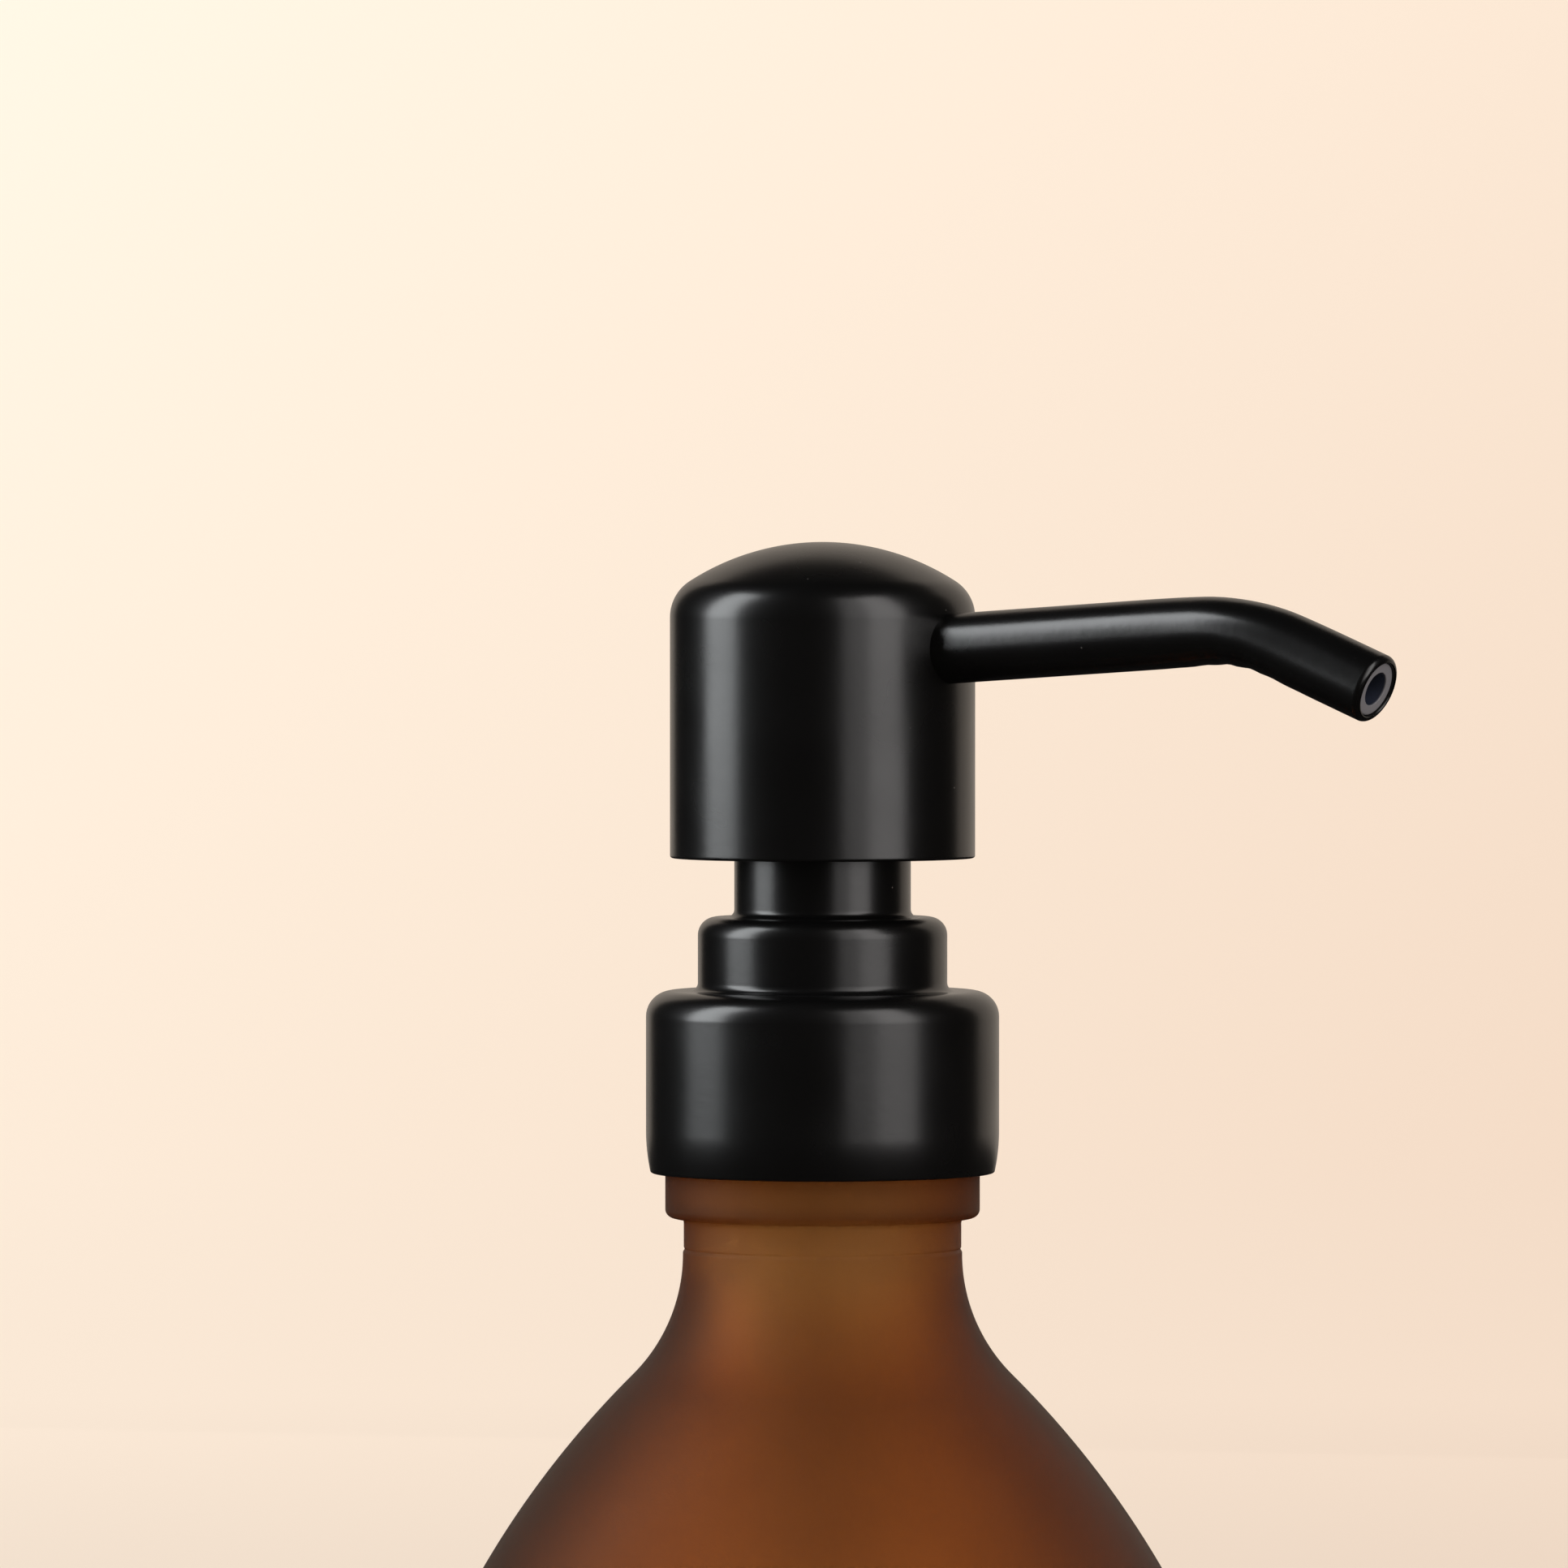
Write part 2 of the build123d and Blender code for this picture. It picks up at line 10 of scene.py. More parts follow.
import bpy
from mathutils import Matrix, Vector


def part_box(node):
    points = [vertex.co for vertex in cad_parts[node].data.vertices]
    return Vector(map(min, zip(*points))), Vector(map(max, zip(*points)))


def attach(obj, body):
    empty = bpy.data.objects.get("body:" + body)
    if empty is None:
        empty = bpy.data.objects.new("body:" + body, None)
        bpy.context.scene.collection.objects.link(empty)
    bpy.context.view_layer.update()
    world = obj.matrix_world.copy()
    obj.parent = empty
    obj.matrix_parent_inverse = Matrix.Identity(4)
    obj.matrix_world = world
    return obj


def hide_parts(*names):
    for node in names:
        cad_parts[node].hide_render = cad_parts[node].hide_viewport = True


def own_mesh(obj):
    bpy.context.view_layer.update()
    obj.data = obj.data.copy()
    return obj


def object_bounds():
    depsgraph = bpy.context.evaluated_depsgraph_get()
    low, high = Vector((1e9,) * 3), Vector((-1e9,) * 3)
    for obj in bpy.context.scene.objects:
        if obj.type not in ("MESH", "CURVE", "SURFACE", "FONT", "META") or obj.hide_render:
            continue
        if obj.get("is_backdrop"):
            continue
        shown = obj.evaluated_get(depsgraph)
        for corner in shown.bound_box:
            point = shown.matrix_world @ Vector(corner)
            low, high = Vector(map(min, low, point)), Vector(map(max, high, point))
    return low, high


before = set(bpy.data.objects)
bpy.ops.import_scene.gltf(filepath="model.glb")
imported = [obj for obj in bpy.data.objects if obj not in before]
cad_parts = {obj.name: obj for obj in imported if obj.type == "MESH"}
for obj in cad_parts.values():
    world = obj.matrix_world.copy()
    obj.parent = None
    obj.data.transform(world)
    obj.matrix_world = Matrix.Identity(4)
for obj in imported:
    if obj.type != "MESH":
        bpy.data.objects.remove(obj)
cad_low, cad_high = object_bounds()
MM = 0.001
print("the object spans", [round(v / MM, 1) for v in cad_high - cad_low], "mm")

# %% [markdown]
# ## Reading sizes from the frame
# A render piece must sit exactly where its CAD piece sits. So heights and radii come from the boxes of the
# CAD nodes. A round piece on the Z axis has its radius as half its width across Y.

# %% Sizes read from the frame
def radius_of(node):
    low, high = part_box(node)
    return (high.y - low.y) / 2


def bottom_of(node):
    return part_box(node)[0].z


def top_of(node):
    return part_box(node)[1].z


body_radius = radius_of("bottle")
mouth_z = top_of("bottle")
head_radius = radius_of("head_shell")
rim_z = bottom_of("head_shell")
apex_z = top_of("head_shell")
skirt_radius = radius_of("collar_shell")
skirt_bottom_z = bottom_of("collar_shell")
sleeve_top_z = top_of("collar_shell")
spout_radius = radius_of("spout_tube")
liner_radius = radius_of("spout_liner")
print("bottle", round(body_radius / MM, 2), "x", round(mouth_z / MM, 2), "mm")

# %% [markdown]
# ## Outlines made of straight and round stretches
# Nearly every piece here was turned, pressed or blown round an axis, so its shape is one outline. We write
# an outline as a few corners, each with the radius of its round, and let a function lay points on the
# rounds. Two extra points close to the ends of each straight stretch keep its shading flat, which is the
# same job that support loops do in hand modelling.

# %% Outline helpers
ROUND_STEPS = 10
SUPPORT = 0.12 * MM
NEAREST = 1e-7


def arc_points(centre, start, end, steps=ROUND_STEPS):
    """Points of the short arc from start to end about centre, both ends included."""
    centre = Vector(centre)
    first = atan2(start[1] - centre.y, start[0] - centre.x)
    last = atan2(end[1] - centre.y, end[0] - centre.x)
    turn = (last - first + pi) % (2 * pi) - pi
    radius = (Vector(start) - centre).length
    angles = [first + turn * step / steps for step in range(steps + 1)]
    return [centre + Vector((cos(a), sin(a))) * radius for a in angles]


def straight_points(start, end):
    """A straight stretch with a support point near each end."""
    start, end = Vector(start), Vector(end)
    length = (end - start).length
    if length < 3 * SUPPORT:
        return [start, end]
    step = (end - start) / length * SUPPORT
    return [start, start + step, end - step, end]


def rounded(corners, steps=ROUND_STEPS):
    """An open outline through (radius, height, round) corners. The two end corners stay sharp."""
    points = [Vector(corner[:2]) for corner in corners]
    rounds = [corner[2] if len(corner) == 3 else 0 for corner in corners]
    stretches = []
    last = points[0]
    for here, before, after, size in zip(points[1:-1], points, points[2:], rounds[1:-1]):
        back = (before - here).normalized()
        ahead = (after - here).normalized()
        if size == 0:
            stretches += straight_points(last, here)
            last = here
            continue
        half_angle = back.angle(ahead) / 2
        reach = size / tan(half_angle)
        middle = (back + ahead).normalized() * (size / sin(half_angle))
        start, end = here + back * reach, here + ahead * reach
        stretches += straight_points(last, start)
        stretches += arc_points(here + middle, start, end, steps)
        last = end
    stretches += straight_points(last, points[-1])
    return without_doubles(stretches)


def without_doubles(points):
    """Drops each point that lies on the one before it."""
    kept = [points[0]]
    for point in points[1:]:
        if (point - kept[-1]).length > NEAREST:
            kept.append(point)
    return kept


def outline_object(name, points, **marked_rows):
    """The outline as loose edges in the XZ plane. Each mark becomes an attribute that is 1 on its rows."""
    mesh = bpy.data.meshes.new(name)
    edges = [(index, index + 1) for index in range(len(points) - 1)]
    mesh.from_pydata([(p.x, 0, p.y) for p in points], edges, [])
    for mark, rows in marked_rows.items():
        layer = mesh.attributes.new(mark, "FLOAT", "POINT")
        for row in rows:
            layer.data[row].value = 1
    piece = bpy.data.objects.new(name, mesh)
    bpy.context.scene.collection.objects.link(piece)
    return piece


# %% [markdown]
# ## A lathe in Geometry Nodes
# A lathe turns one outline round an axis. In Geometry Nodes that is a grid: one direction of the grid
# counts the outline's points, the other counts steps round the axis. Each grid point looks its outline
# point up by number and turns it by its own angle. We could also use the Screw modifier, but a node tree
# lets us add a screw ridge to the surface while it turns, which the bottle's neck needs, and no boolean is
# left to clean. The tree also carries one mark, inner, from the outline to the finished mesh. It tells a
# finish which side of a hollow piece it is on.

# %% Node tree helpers
def new_tree(name, sockets):
    """A Geometry Nodes tree with a geometry input and output and the named inputs."""
    tree = bpy.data.node_groups.new(name, "GeometryNodeTree")
    tree.is_modifier = True
    face = tree.interface
    face.new_socket("Geometry", in_out="OUTPUT", socket_type="NodeSocketGeometry")
    face.new_socket("Geometry", in_out="INPUT", socket_type="NodeSocketGeometry")
    for label, kind in sockets.items():
        face.new_socket(label, in_out="INPUT", socket_type="NodeSocket" + kind)
    return tree, tree.nodes.new("NodeGroupInput").outputs, tree.nodes.new("NodeGroupOutput").inputs


def put(tree, kind, *values, **settings):
    """Adds a node, sets its properties, and feeds its inputs with links or numbers.

    The values go to the inputs in order, or one dictionary says which input each of them goes to.
    """
    node = tree.nodes.new(kind)
    for key, value in settings.items():
        setattr(node, key, value)
    named = bool(values) and isinstance(values[0], dict)
    feeds = values[0] if named else dict(enumerate(values))
    for key, value in feeds.items():
        if isinstance(value, bpy.types.NodeSocket):
            tree.links.new(value, node.inputs[key])
        else:
            node.inputs[key].default_value = value
    return node


def maths(tree, operation, *values):
    """One Math node, as its output socket."""
    return put(tree, "ShaderNodeMath", *values, operation=operation).outputs[0]


def sampled(tree, geometry, data_type, value, index):
    """The value that a point of some geometry holds, looked up by its number."""
    return put(
        tree, "GeometryNodeSampleIndex", {0: geometry, 1: value, 2: index}, data_type=data_type,
        domain="POINT"
    ).outputs[0]


def run_tree(piece, tree, **inputs):
    """Puts the tree on the piece, sets its inputs by socket identifier, and returns a plain mesh object."""
    modifier = piece.modifiers.new(tree.name, "NODES")
    modifier.node_group = tree
    sockets = [item for item in tree.interface.items_tree if item.in_out == "INPUT"]
    identifiers = {socket.name: socket.identifier for socket in sockets}
    for label, value in inputs.items():
        modifier[identifiers[label.replace("_", " ")]] = value
    bpy.context.view_layer.update()
    evaluated = piece.evaluated_get(bpy.context.evaluated_depsgraph_get())
    mesh = bpy.data.meshes.new_from_object(evaluated)
    name = piece.name
    bpy.data.objects.remove(piece)
    mesh.name = name
    made = bpy.data.objects.new(name, mesh)
    bpy.context.scene.collection.objects.link(made)
    return made


# %% Grid shared by the two turning trees
def turning_grid(tree, profile, segments):
    """A grid over the outline's rows and the steps round the axis, with each point's row and angle.

    Rows marked inner keep that mark on the finished mesh, for a finish that differs on the inside.
    """
    rows = put(tree, "GeometryNodeAttributeDomainSize", profile, component="MESH").outputs["Point Count"]
    columns = maths(tree, "ADD", segments, 1)
    grid = put(tree, "GeometryNodeMeshGrid", 1.0, 1.0, columns, rows).outputs[0]
    index = put(tree, "GeometryNodeInputIndex").outputs[0]
    row = maths(tree, "MODULO", index, rows)
    column = maths(tree, "FLOOR", maths(tree, "DIVIDE", maths(tree, "ADD", index, 0.5), rows))
    angle = maths(tree, "MULTIPLY", maths(tree, "DIVIDE", column, segments), 2 * pi)
    place = put(tree, "GeometryNodeInputPosition").outputs[0]
    outline_point = put(
        tree, "ShaderNodeSeparateXYZ", sampled(tree, profile, "FLOAT_VECTOR", place, row)
    ).outputs
    inner = put(tree, "GeometryNodeInputNamedAttribute", "inner", data_type="FLOAT").outputs[0]
    marked = put(tree, "GeometryNodeStoreNamedAttribute", {
        0: grid, "Name": "inner", "Value": sampled(tree, profile, "FLOAT", inner, row)
    }, data_type="FLOAT", domain="POINT").outputs[0]
    return marked, row, angle, outline_point[0], outline_point[2]


def finish_turning(tree, grid, position, material, out):
    """Moves the grid, closes its seam and poles, and gives it its finish."""
    moved = put(tree, "GeometryNodeSetPosition", {0: grid, 2: position}).outputs[0]
    closed = put(tree, "GeometryNodeMergeByDistance", {0: moved, "Distance": 1e-6}).outputs[0]
    smooth = put(tree, "GeometryNodeSetShadeSmooth", {0: closed}).outputs[0]
    real = put(tree, "GeometryNodeRealizeInstances", smooth).outputs[0]
    finished = put(tree, "GeometryNodeSetMaterial", {0: real, 2: material}).outputs[0]
    tree.links.new(finished, out[0])


# %% The lathe tree
def make_lathe():
    """Turns the outline about Z. Rows marked ridge may also carry a right-handed screw ridge."""
    tree, feed, out = new_tree("lathe", {
        "Segments": "Int",
        "Ridge depth": "Float",
        "Ridge pitch": "Float",
        "Ridge start": "Float",
        "Ridge turns": "Float",
        "Ridge root": "Float",
        "Ridge crest": "Float",
        "Material": "Material",
    })
    profile = feed["Geometry"]
    grid, row, angle, radius, height = turning_grid(tree, profile, feed["Segments"])
    carried = put(tree, "GeometryNodeInputNamedAttribute", "ridge", data_type="FLOAT").outputs[0]
    carries = sampled(tree, profile, "FLOAT", carried, row)

    turn = maths(tree, "DIVIDE", angle, 2 * pi)
    pitch = maths(tree, "MAXIMUM", feed["Ridge pitch"], 1e-6)
    climbed = maths(tree, "DIVIDE", maths(tree, "SUBTRACT", height, feed["Ridge start"]), pitch)
    lap = maths(tree, "ROUND", maths(tree, "SUBTRACT", climbed, turn))
    along = maths(tree, "ADD", turn, lap)
    off_centre = maths(tree, "ABSOLUTE", maths(tree, "SUBTRACT", climbed, along))
    off_centre = maths(tree, "MULTIPLY", off_centre, pitch)
    flank = maths(tree, "MULTIPLY", maths(tree, "SUBTRACT", feed["Ridge root"], feed["Ridge crest"]), 0.5)
    flank = maths(tree, "MAXIMUM", flank, 1e-6)
    to_foot = maths(tree, "SUBTRACT", maths(tree, "MULTIPLY", feed["Ridge root"], 0.5), off_centre)
    section = put(tree, "ShaderNodeClamp", maths(tree, "DIVIDE", to_foot, flank)).outputs[0]
    run_in = maths(tree, "MULTIPLY", along, 10.0)
    run_out = maths(tree, "MULTIPLY", maths(tree, "SUBTRACT", feed["Ridge turns"], along), 10.0)
    ends = put(tree, "ShaderNodeClamp", maths(tree, "MINIMUM", run_in, run_out)).outputs[0]
    ridge = maths(tree, "MULTIPLY", maths(tree, "MULTIPLY", section, ends), feed["Ridge depth"])
    radius = maths(tree, "ADD", radius, maths(tree, "MULTIPLY", ridge, carries))

    across = maths(tree, "MULTIPLY", radius, maths(tree, "COSINE", angle))
    deep = maths(tree, "MULTIPLY", radius, maths(tree, "SINE", angle))
    position = put(tree, "ShaderNodeCombineXYZ", across, deep, height).outputs[0]
    finish_turning(tree, grid, position, feed["Material"], out)
    return tree


lathe = make_lathe()
print("lathe tree has", len(lathe.nodes), "nodes")

# %% [markdown]
# ## A lathe with a bent axis
# The spout is a tube whose end was rounded on a lathe and which was then bent. So it is the same idea with
# a curved axis: the outline's height is now the distance along a line. The bend also squeezes the tube a
# little and leaves faint wrinkles on its inner side. Both fade away from the bend with a bell curve.

# %% The bent lathe tree
def make_bent_lathe():
    """Turns the outline about a flat curve in the XZ plane."""
    tree, feed, out = new_tree("bent lathe", {
        "Segments": "Int",
        "Axis": "Object",
        "Bend at": "Float",
        "Bend spread": "Float",
        "Flatten": "Float",
        "Wrinkle": "Float",
        "Wrinkle pitch": "Float",
        "Material": "Material",
    })
    profile = feed["Geometry"]
    grid, _, angle, radius, distance = turning_grid(tree, profile, feed["Segments"])
    axis = put(tree, "GeometryNodeObjectInfo", {0: feed["Axis"]}).outputs["Geometry"]
    curve = put(tree, "GeometryNodeMeshToCurve", axis).outputs[0]
    on_axis = put(
        tree, "GeometryNodeSampleCurve", {"Curves": curve, "Length": distance}, mode="LENGTH"
    ).outputs

    apart = maths(tree, "DIVIDE", maths(tree, "SUBTRACT", distance, feed["Bend at"]), feed["Bend spread"])
    bell = maths(tree, "EXPONENT", maths(tree, "MULTIPLY", maths(tree, "MULTIPLY", apart, apart), -1.0))
    squeeze = maths(tree, "MULTIPLY", bell, feed["Flatten"])
    up = maths(tree, "COSINE", angle)
    side = maths(tree, "SINE", angle)
    inner_side = maths(tree, "MAXIMUM", maths(tree, "MULTIPLY", up, -1.0), 0.0)
    phase = maths(tree, "DIVIDE", maths(tree, "MULTIPLY", distance, 2 * pi), feed["Wrinkle pitch"])
    wave = maths(tree, "MULTIPLY", maths(tree, "SINE", phase), feed["Wrinkle"])
    wave = maths(tree, "MULTIPLY", maths(tree, "MULTIPLY", wave, bell), inner_side)
    radius = maths(tree, "SUBTRACT", radius, wave)
    tall = maths(tree, "MULTIPLY", radius, maths(tree, "SUBTRACT", 1.0, squeeze))
    wide = maths(tree, "MULTIPLY", radius, maths(tree, "ADD", 1.0, maths(tree, "MULTIPLY", squeeze, 0.6)))

    sideways = put(tree, "ShaderNodeCombineXYZ", 0.0, 1.0, 0.0).outputs[0]
    upward = put(
        tree, "ShaderNodeVectorMath", on_axis["Tangent"], sideways, operation="CROSS_PRODUCT"
    ).outputs[0]
    rise = put(tree, "ShaderNodeVectorMath", {
        0: upward, "Scale": maths(tree, "MULTIPLY", tall, up)
    }, operation="SCALE").outputs[0]
    drift = put(tree, "ShaderNodeVectorMath", {
        0: sideways, "Scale": maths(tree, "MULTIPLY", wide, side)
    }, operation="SCALE").outputs[0]
    position = put(tree, "ShaderNodeVectorMath", on_axis["Position"], rise, operation="ADD").outputs[0]
    position = put(tree, "ShaderNodeVectorMath", position, drift, operation="ADD").outputs[0]
    finish_turning(tree, grid, position, feed["Material"], out)
    return tree


bent_lathe = make_bent_lathe()
print("bent lathe tree has", len(bent_lathe.nodes), "nodes")

# %% [markdown]
# ## A spring in Geometry Nodes
# A wire spring is a helix with a round section. A real one has its end coils closed up, so that it stands
# square. A sine added to the height closes the ends and opens the middle, with no change in the length.

# %% The spring tree
def make_coiler():
    """Winds a helix and wraps a round wire on it."""
    tree, feed, out = new_tree("coiler", {
        "Coil radius": "Float",
        "Wire radius": "Float",
        "Turns": "Float",
        "Bottom": "Float",
        "Length": "Float",
        "Closing": "Float",
        "Steps": "Int",
        "Material": "Material",
    })
    spiral = put(tree, "GeometryNodeCurveSpiral", {
        "Resolution": feed["Steps"],
        "Rotations": feed["Turns"],
        "Start Radius": feed["Coil radius"],
        "End Radius": feed["Coil radius"],
        "Height": 1.0,
    }).outputs[0]
    place = put(tree, "GeometryNodeInputPosition").outputs[0]
    parts = put(tree, "ShaderNodeSeparateXYZ", place).outputs
    wave = maths(tree, "SINE", maths(tree, "MULTIPLY", parts[2], 2 * pi))
    wave = maths(tree, "MULTIPLY", maths(tree, "MULTIPLY", wave, feed["Closing"]), 1 / (2 * pi))
    share = maths(tree, "SUBTRACT", parts[2], wave)
    height = maths(tree, "ADD", maths(tree, "MULTIPLY", share, feed["Length"]), feed["Bottom"])
    lifted = put(tree, "ShaderNodeCombineXYZ", parts[0], parts[1], height).outputs[0]
    line = put(tree, "GeometryNodeSetPosition", {0: spiral, 2: lifted}).outputs[0]
    section = put(tree, "GeometryNodeCurvePrimitiveCircle", {
        "Resolution": 12, "Radius": feed["Wire radius"]
    }).outputs[0]
    wire = put(tree, "GeometryNodeCurveToMesh", {
        "Curve": line, "Profile Curve": section, "Fill Caps": True
    }).outputs[0]
    smooth = put(tree, "GeometryNodeSetShadeSmooth", {0: wire}).outputs[0]
    real = put(tree, "GeometryNodeRealizeInstances", smooth).outputs[0]
    finished = put(tree, "GeometryNodeSetMaterial", {0: real, 2: feed["Material"]}).outputs[0]
    tree.links.new(finished, out[0])
    return tree


coiler = make_coiler()

# %% [markdown]
# ## Finishes
# Each finish is one Principled shader with a few procedural patterns on Object coordinates, which are
# metres here. So a pattern's scale is one over its size: grains of 0.8 mm need a scale of 1250. Numbers
# that are the same all over are set straight on the shader.

# %% Finish helpers
def per_mm(count):
    """Texture scale that gives this many features to a millimetre."""
    return count / MM


def new_finish(name, **sockets):
    """A material with one Principled shader. Underscores in socket names stand for spaces."""
    material = bpy.data.materials.new(name)
    material.use_nodes = True
    tree = material.node_tree
    shader = tree.nodes["Principled BSDF"]
    for label, value in sockets.items():
        shader.inputs[label.replace("_", " ")].default_value = value
    return material, tree, shader.inputs


def object_place(tree, stretch=(1, 1, 1)):
    """Object coordinates, stretched along the axes."""
    place = tree.nodes.new("ShaderNodeTexCoord").outputs["Object"]
    return put(tree, "ShaderNodeMapping", {"Vector": place, "Scale": stretch}).outputs[0]


def noise(tree, features_per_mm, detail=3.0, stretch=(1, 1, 1)):
    """Soft random pattern, from 0 to 1."""
    return put(tree, "ShaderNodeTexNoise", {
        "Vector": object_place(tree, stretch), "Scale": per_mm(features_per_mm), "Detail": detail
    }).outputs[0]


def between(tree, factor, low, high, from_low=0.3, from_high=0.7):
    """A number that runs from low to high with the factor."""
    return put(tree, "ShaderNodeMapRange", factor, from_low, from_high, low, high).outputs[0]


def two_tones(tree, factor, low, high):
    """A colour between two, by the factor."""
    mix = tree.nodes.new("ShaderNodeMix")
    mix.data_type = "RGBA"
    tree.links.new(factor, mix.inputs[0])
    mix.inputs[6].default_value = (*low, 1)
    mix.inputs[7].default_value = (*high, 1)
    return mix.outputs[2]


def bumped(tree, height, depth_mm, shader, after=None):
    """Bump from a 0 to 1 height, with its depth in millimetres. Give after to add it to another bump."""
    node = put(tree, "ShaderNodeBump", {"Strength": 1.0, "Distance": depth_mm * MM, "Height": height})
    if after is not None:
        tree.links.new(after, node.inputs["Normal"])
    tree.links.new(node.outputs[0], shader["Normal"])
    return node.outputs[0]


# %% [markdown]
# ### Satin black enamel
# The head, collar and spout are pressed metal under a sprayed satin enamel. Close up such a coat shows
# orange peel about 1 mm across, very fine lines left by polishing the metal on a lathe, and a few specks
# of dust caught in it. Orange peel and lines go into the bump, the sheen varies a little with a slow noise,
# and a Voronoi pattern with very small spots makes the dust.

# %% Black enamel
enamel_black = (0.0016, 0.0016, 0.0017)
dust_grey = (0.06, 0.06, 0.06)
dust_depth_mm = 0.012
line_depth_mm = 0.0012


def black_enamel(name, line_stretch, peel_depth_mm):
    """Black with dust, orange peel of the given depth, and polishing lines across the stretch."""
    material, tree, shader = new_finish(name, Metallic=0.0, IOR=1.5, Coat_Weight=0.0)
    slow = noise(tree, 0.12, 2.0)
    cells = put(tree, "ShaderNodeTexVoronoi", {"Vector": object_place(tree), "Scale": per_mm(0.35)})
    speck = between(tree, cells.outputs["Distance"], 1.0, 0.0, 0.020, 0.034)
    chosen = put(tree, "ShaderNodeSeparateColor", cells.outputs["Color"]).outputs[0]
    speck = maths(tree, "MULTIPLY", speck, maths(tree, "GREATER_THAN", chosen, 0.55))
    tree.links.new(two_tones(tree, speck, enamel_black, dust_grey), shader["Base Color"])
    tree.links.new(between(tree, slow, 0.23, 0.29, 0.2, 0.8), shader["Roughness"])
    lines = noise(tree, 1.0, 2.0, line_stretch)
    peel = bumped(tree, noise(tree, 1.1, 2.0), peel_depth_mm, shader)
    peel_and_lines = bumped(tree, lines, line_depth_mm, shader, after=peel)
    bumped(tree, speck, dust_depth_mm, shader, after=peel_and_lines)
    return material


turned_enamel = black_enamel("turned_enamel", (0.4, 0.4, 9.0), 0.0035)
drawn_enamel = black_enamel("drawn_enamel", (0.15, 4.0, 4.0), 0.009)

# %% [markdown]
# ### Acid-etched amber glass
# The bottle is amber glass, etched matt on its outside. Light goes through it but spreads, and it turns
# brown on the way. Colour by depth is what a Volume Absorption node does: the thicker the glass along a
# view ray, the darker, so the edges go dark by themselves. The etching is a rough transmission with a
# very fine grain in its bump. The inside of the wall is left smooth, as an etching bath leaves it. The
# specular tint is turned down, since an etched surface gives back less of what stands in front of it.

# %% Frosted amber glass
etched_roughness = (0.66, 0.74)
smooth_roughness = 0.04
etched_tint = (0.40, 0.32, 0.20, 1)
etch_depth_mm = 0.014
amber = (0.68, 0.42, 0.04, 1)
amber_density = 900.0


def frosted_amber():
    """Etched outside, smooth inside: the inner mark of the mesh switches between the two."""
    material, tree, shader = new_finish(
        "frosted_amber", Base_Color=(1, 1, 1, 1), Transmission_Weight=1.0, IOR=1.5,
        Specular_Tint=etched_tint
    )
    inner = put(tree, "ShaderNodeAttribute", attribute_name="inner").outputs["Fac"]
    etched = maths(tree, "SUBTRACT", 1.0, inner)
    clouds = maths(tree, "MULTIPLY", between(tree, noise(tree, 0.08), *etched_roughness), etched)
    tree.links.new(maths(tree, "MAXIMUM", clouds, smooth_roughness), shader["Roughness"])
    grain = maths(tree, "MULTIPLY", noise(tree, 5.0, 2.0), etched)
    bumped(tree, grain, etch_depth_mm, shader)
    absorb = put(tree, "ShaderNodeVolumeAbsorption", amber, amber_density)
    tree.links.new(absorb.outputs[0], tree.nodes["Material Output"].inputs["Volume"])
    return material


amber_glass = frosted_amber()

# %% [markdown]
# ### Plastics, rubber and steel
# The parts inside are plain moulded plastic, with a faint grain from the mould. One function makes them
# all: colour, gloss and grain differ. The liner in the spout has a finish of its own, because its bore is
# painted much darker than its end: painted shade inside the narrow bore. The spring and the ball are
# stainless steel.

# %% Moulded plastics
def moulded(name, dark, light, roughness, grain_mm, depth_mm, **extra):
    """Plastic, foam or rubber between two tones and two roughnesses, with grain of a size and depth."""
    material, tree, shader = new_finish(name, **extra)
    cloud = noise(tree, 0.15)
    tree.links.new(two_tones(tree, cloud, dark, light), shader["Base Color"])
    tree.links.new(between(tree, cloud, *roughness), shader["Roughness"])
    bumped(tree, noise(tree, 1 / grain_mm, 2.0), depth_mm, shader)
    return material


def grey(value, blue_shift=0.0):
    """A grey tone, a little bluer or yellower by the shift."""
    return value, value, value + blue_shift


natural_plastic = moulded("natural_plastic", grey(0.93, -0.03), grey(0.97, -0.03), (0.40, 0.52), 0.5, 0.004)
clear_plastic = moulded("clear_plastic", (0.72, 0.74, 0.74), (0.80, 0.82, 0.82), (0.22, 0.32), 0.8, 0.003,
                        Transmission_Weight=0.6, IOR=1.5)
black_plastic = moulded("black_plastic", grey(0.010), grey(0.016), (0.4, 0.55), 0.4, 0.006)
foam = moulded("gasket_foam", grey(0.70, -0.03), grey(0.85, -0.03), (0.8, 0.95), 0.25, 0.03)
seal_rubber = moulded("seal_rubber", grey(0.015), grey(0.028), (0.55, 0.7), 0.3, 0.008)
piston_plastic = moulded("piston_plastic", (0.70, 0.71, 0.68), (0.80, 0.80, 0.77), (0.25, 0.35), 0.6, 0.003)


# %% Liner plastic
liner_grey = (0.115, 0.122, 0.142)
bore_painted_shade = (0.014, 0.018, 0.032)


def liner_plastic():
    """Grey plastic whose bore is painted near-black blue, as painted shade in the narrow bore."""
    material, tree, shader = new_finish("grey_plastic")
    inner = put(tree, "ShaderNodeAttribute", attribute_name="inner").outputs["Fac"]
    # The bore's near-black blue is painted shade inside the narrow bore; the plastic itself is the grey of
    # its end.
    tree.links.new(two_tones(tree, inner, liner_grey, bore_painted_shade), shader["Base Color"])
    tree.links.new(between(tree, noise(tree, 0.4, 2.0), 0.30, 0.42), shader["Roughness"])
    bumped(tree, noise(tree, 2.5, 2.0), 0.004, shader)
    return material


grey_plastic = liner_plastic()


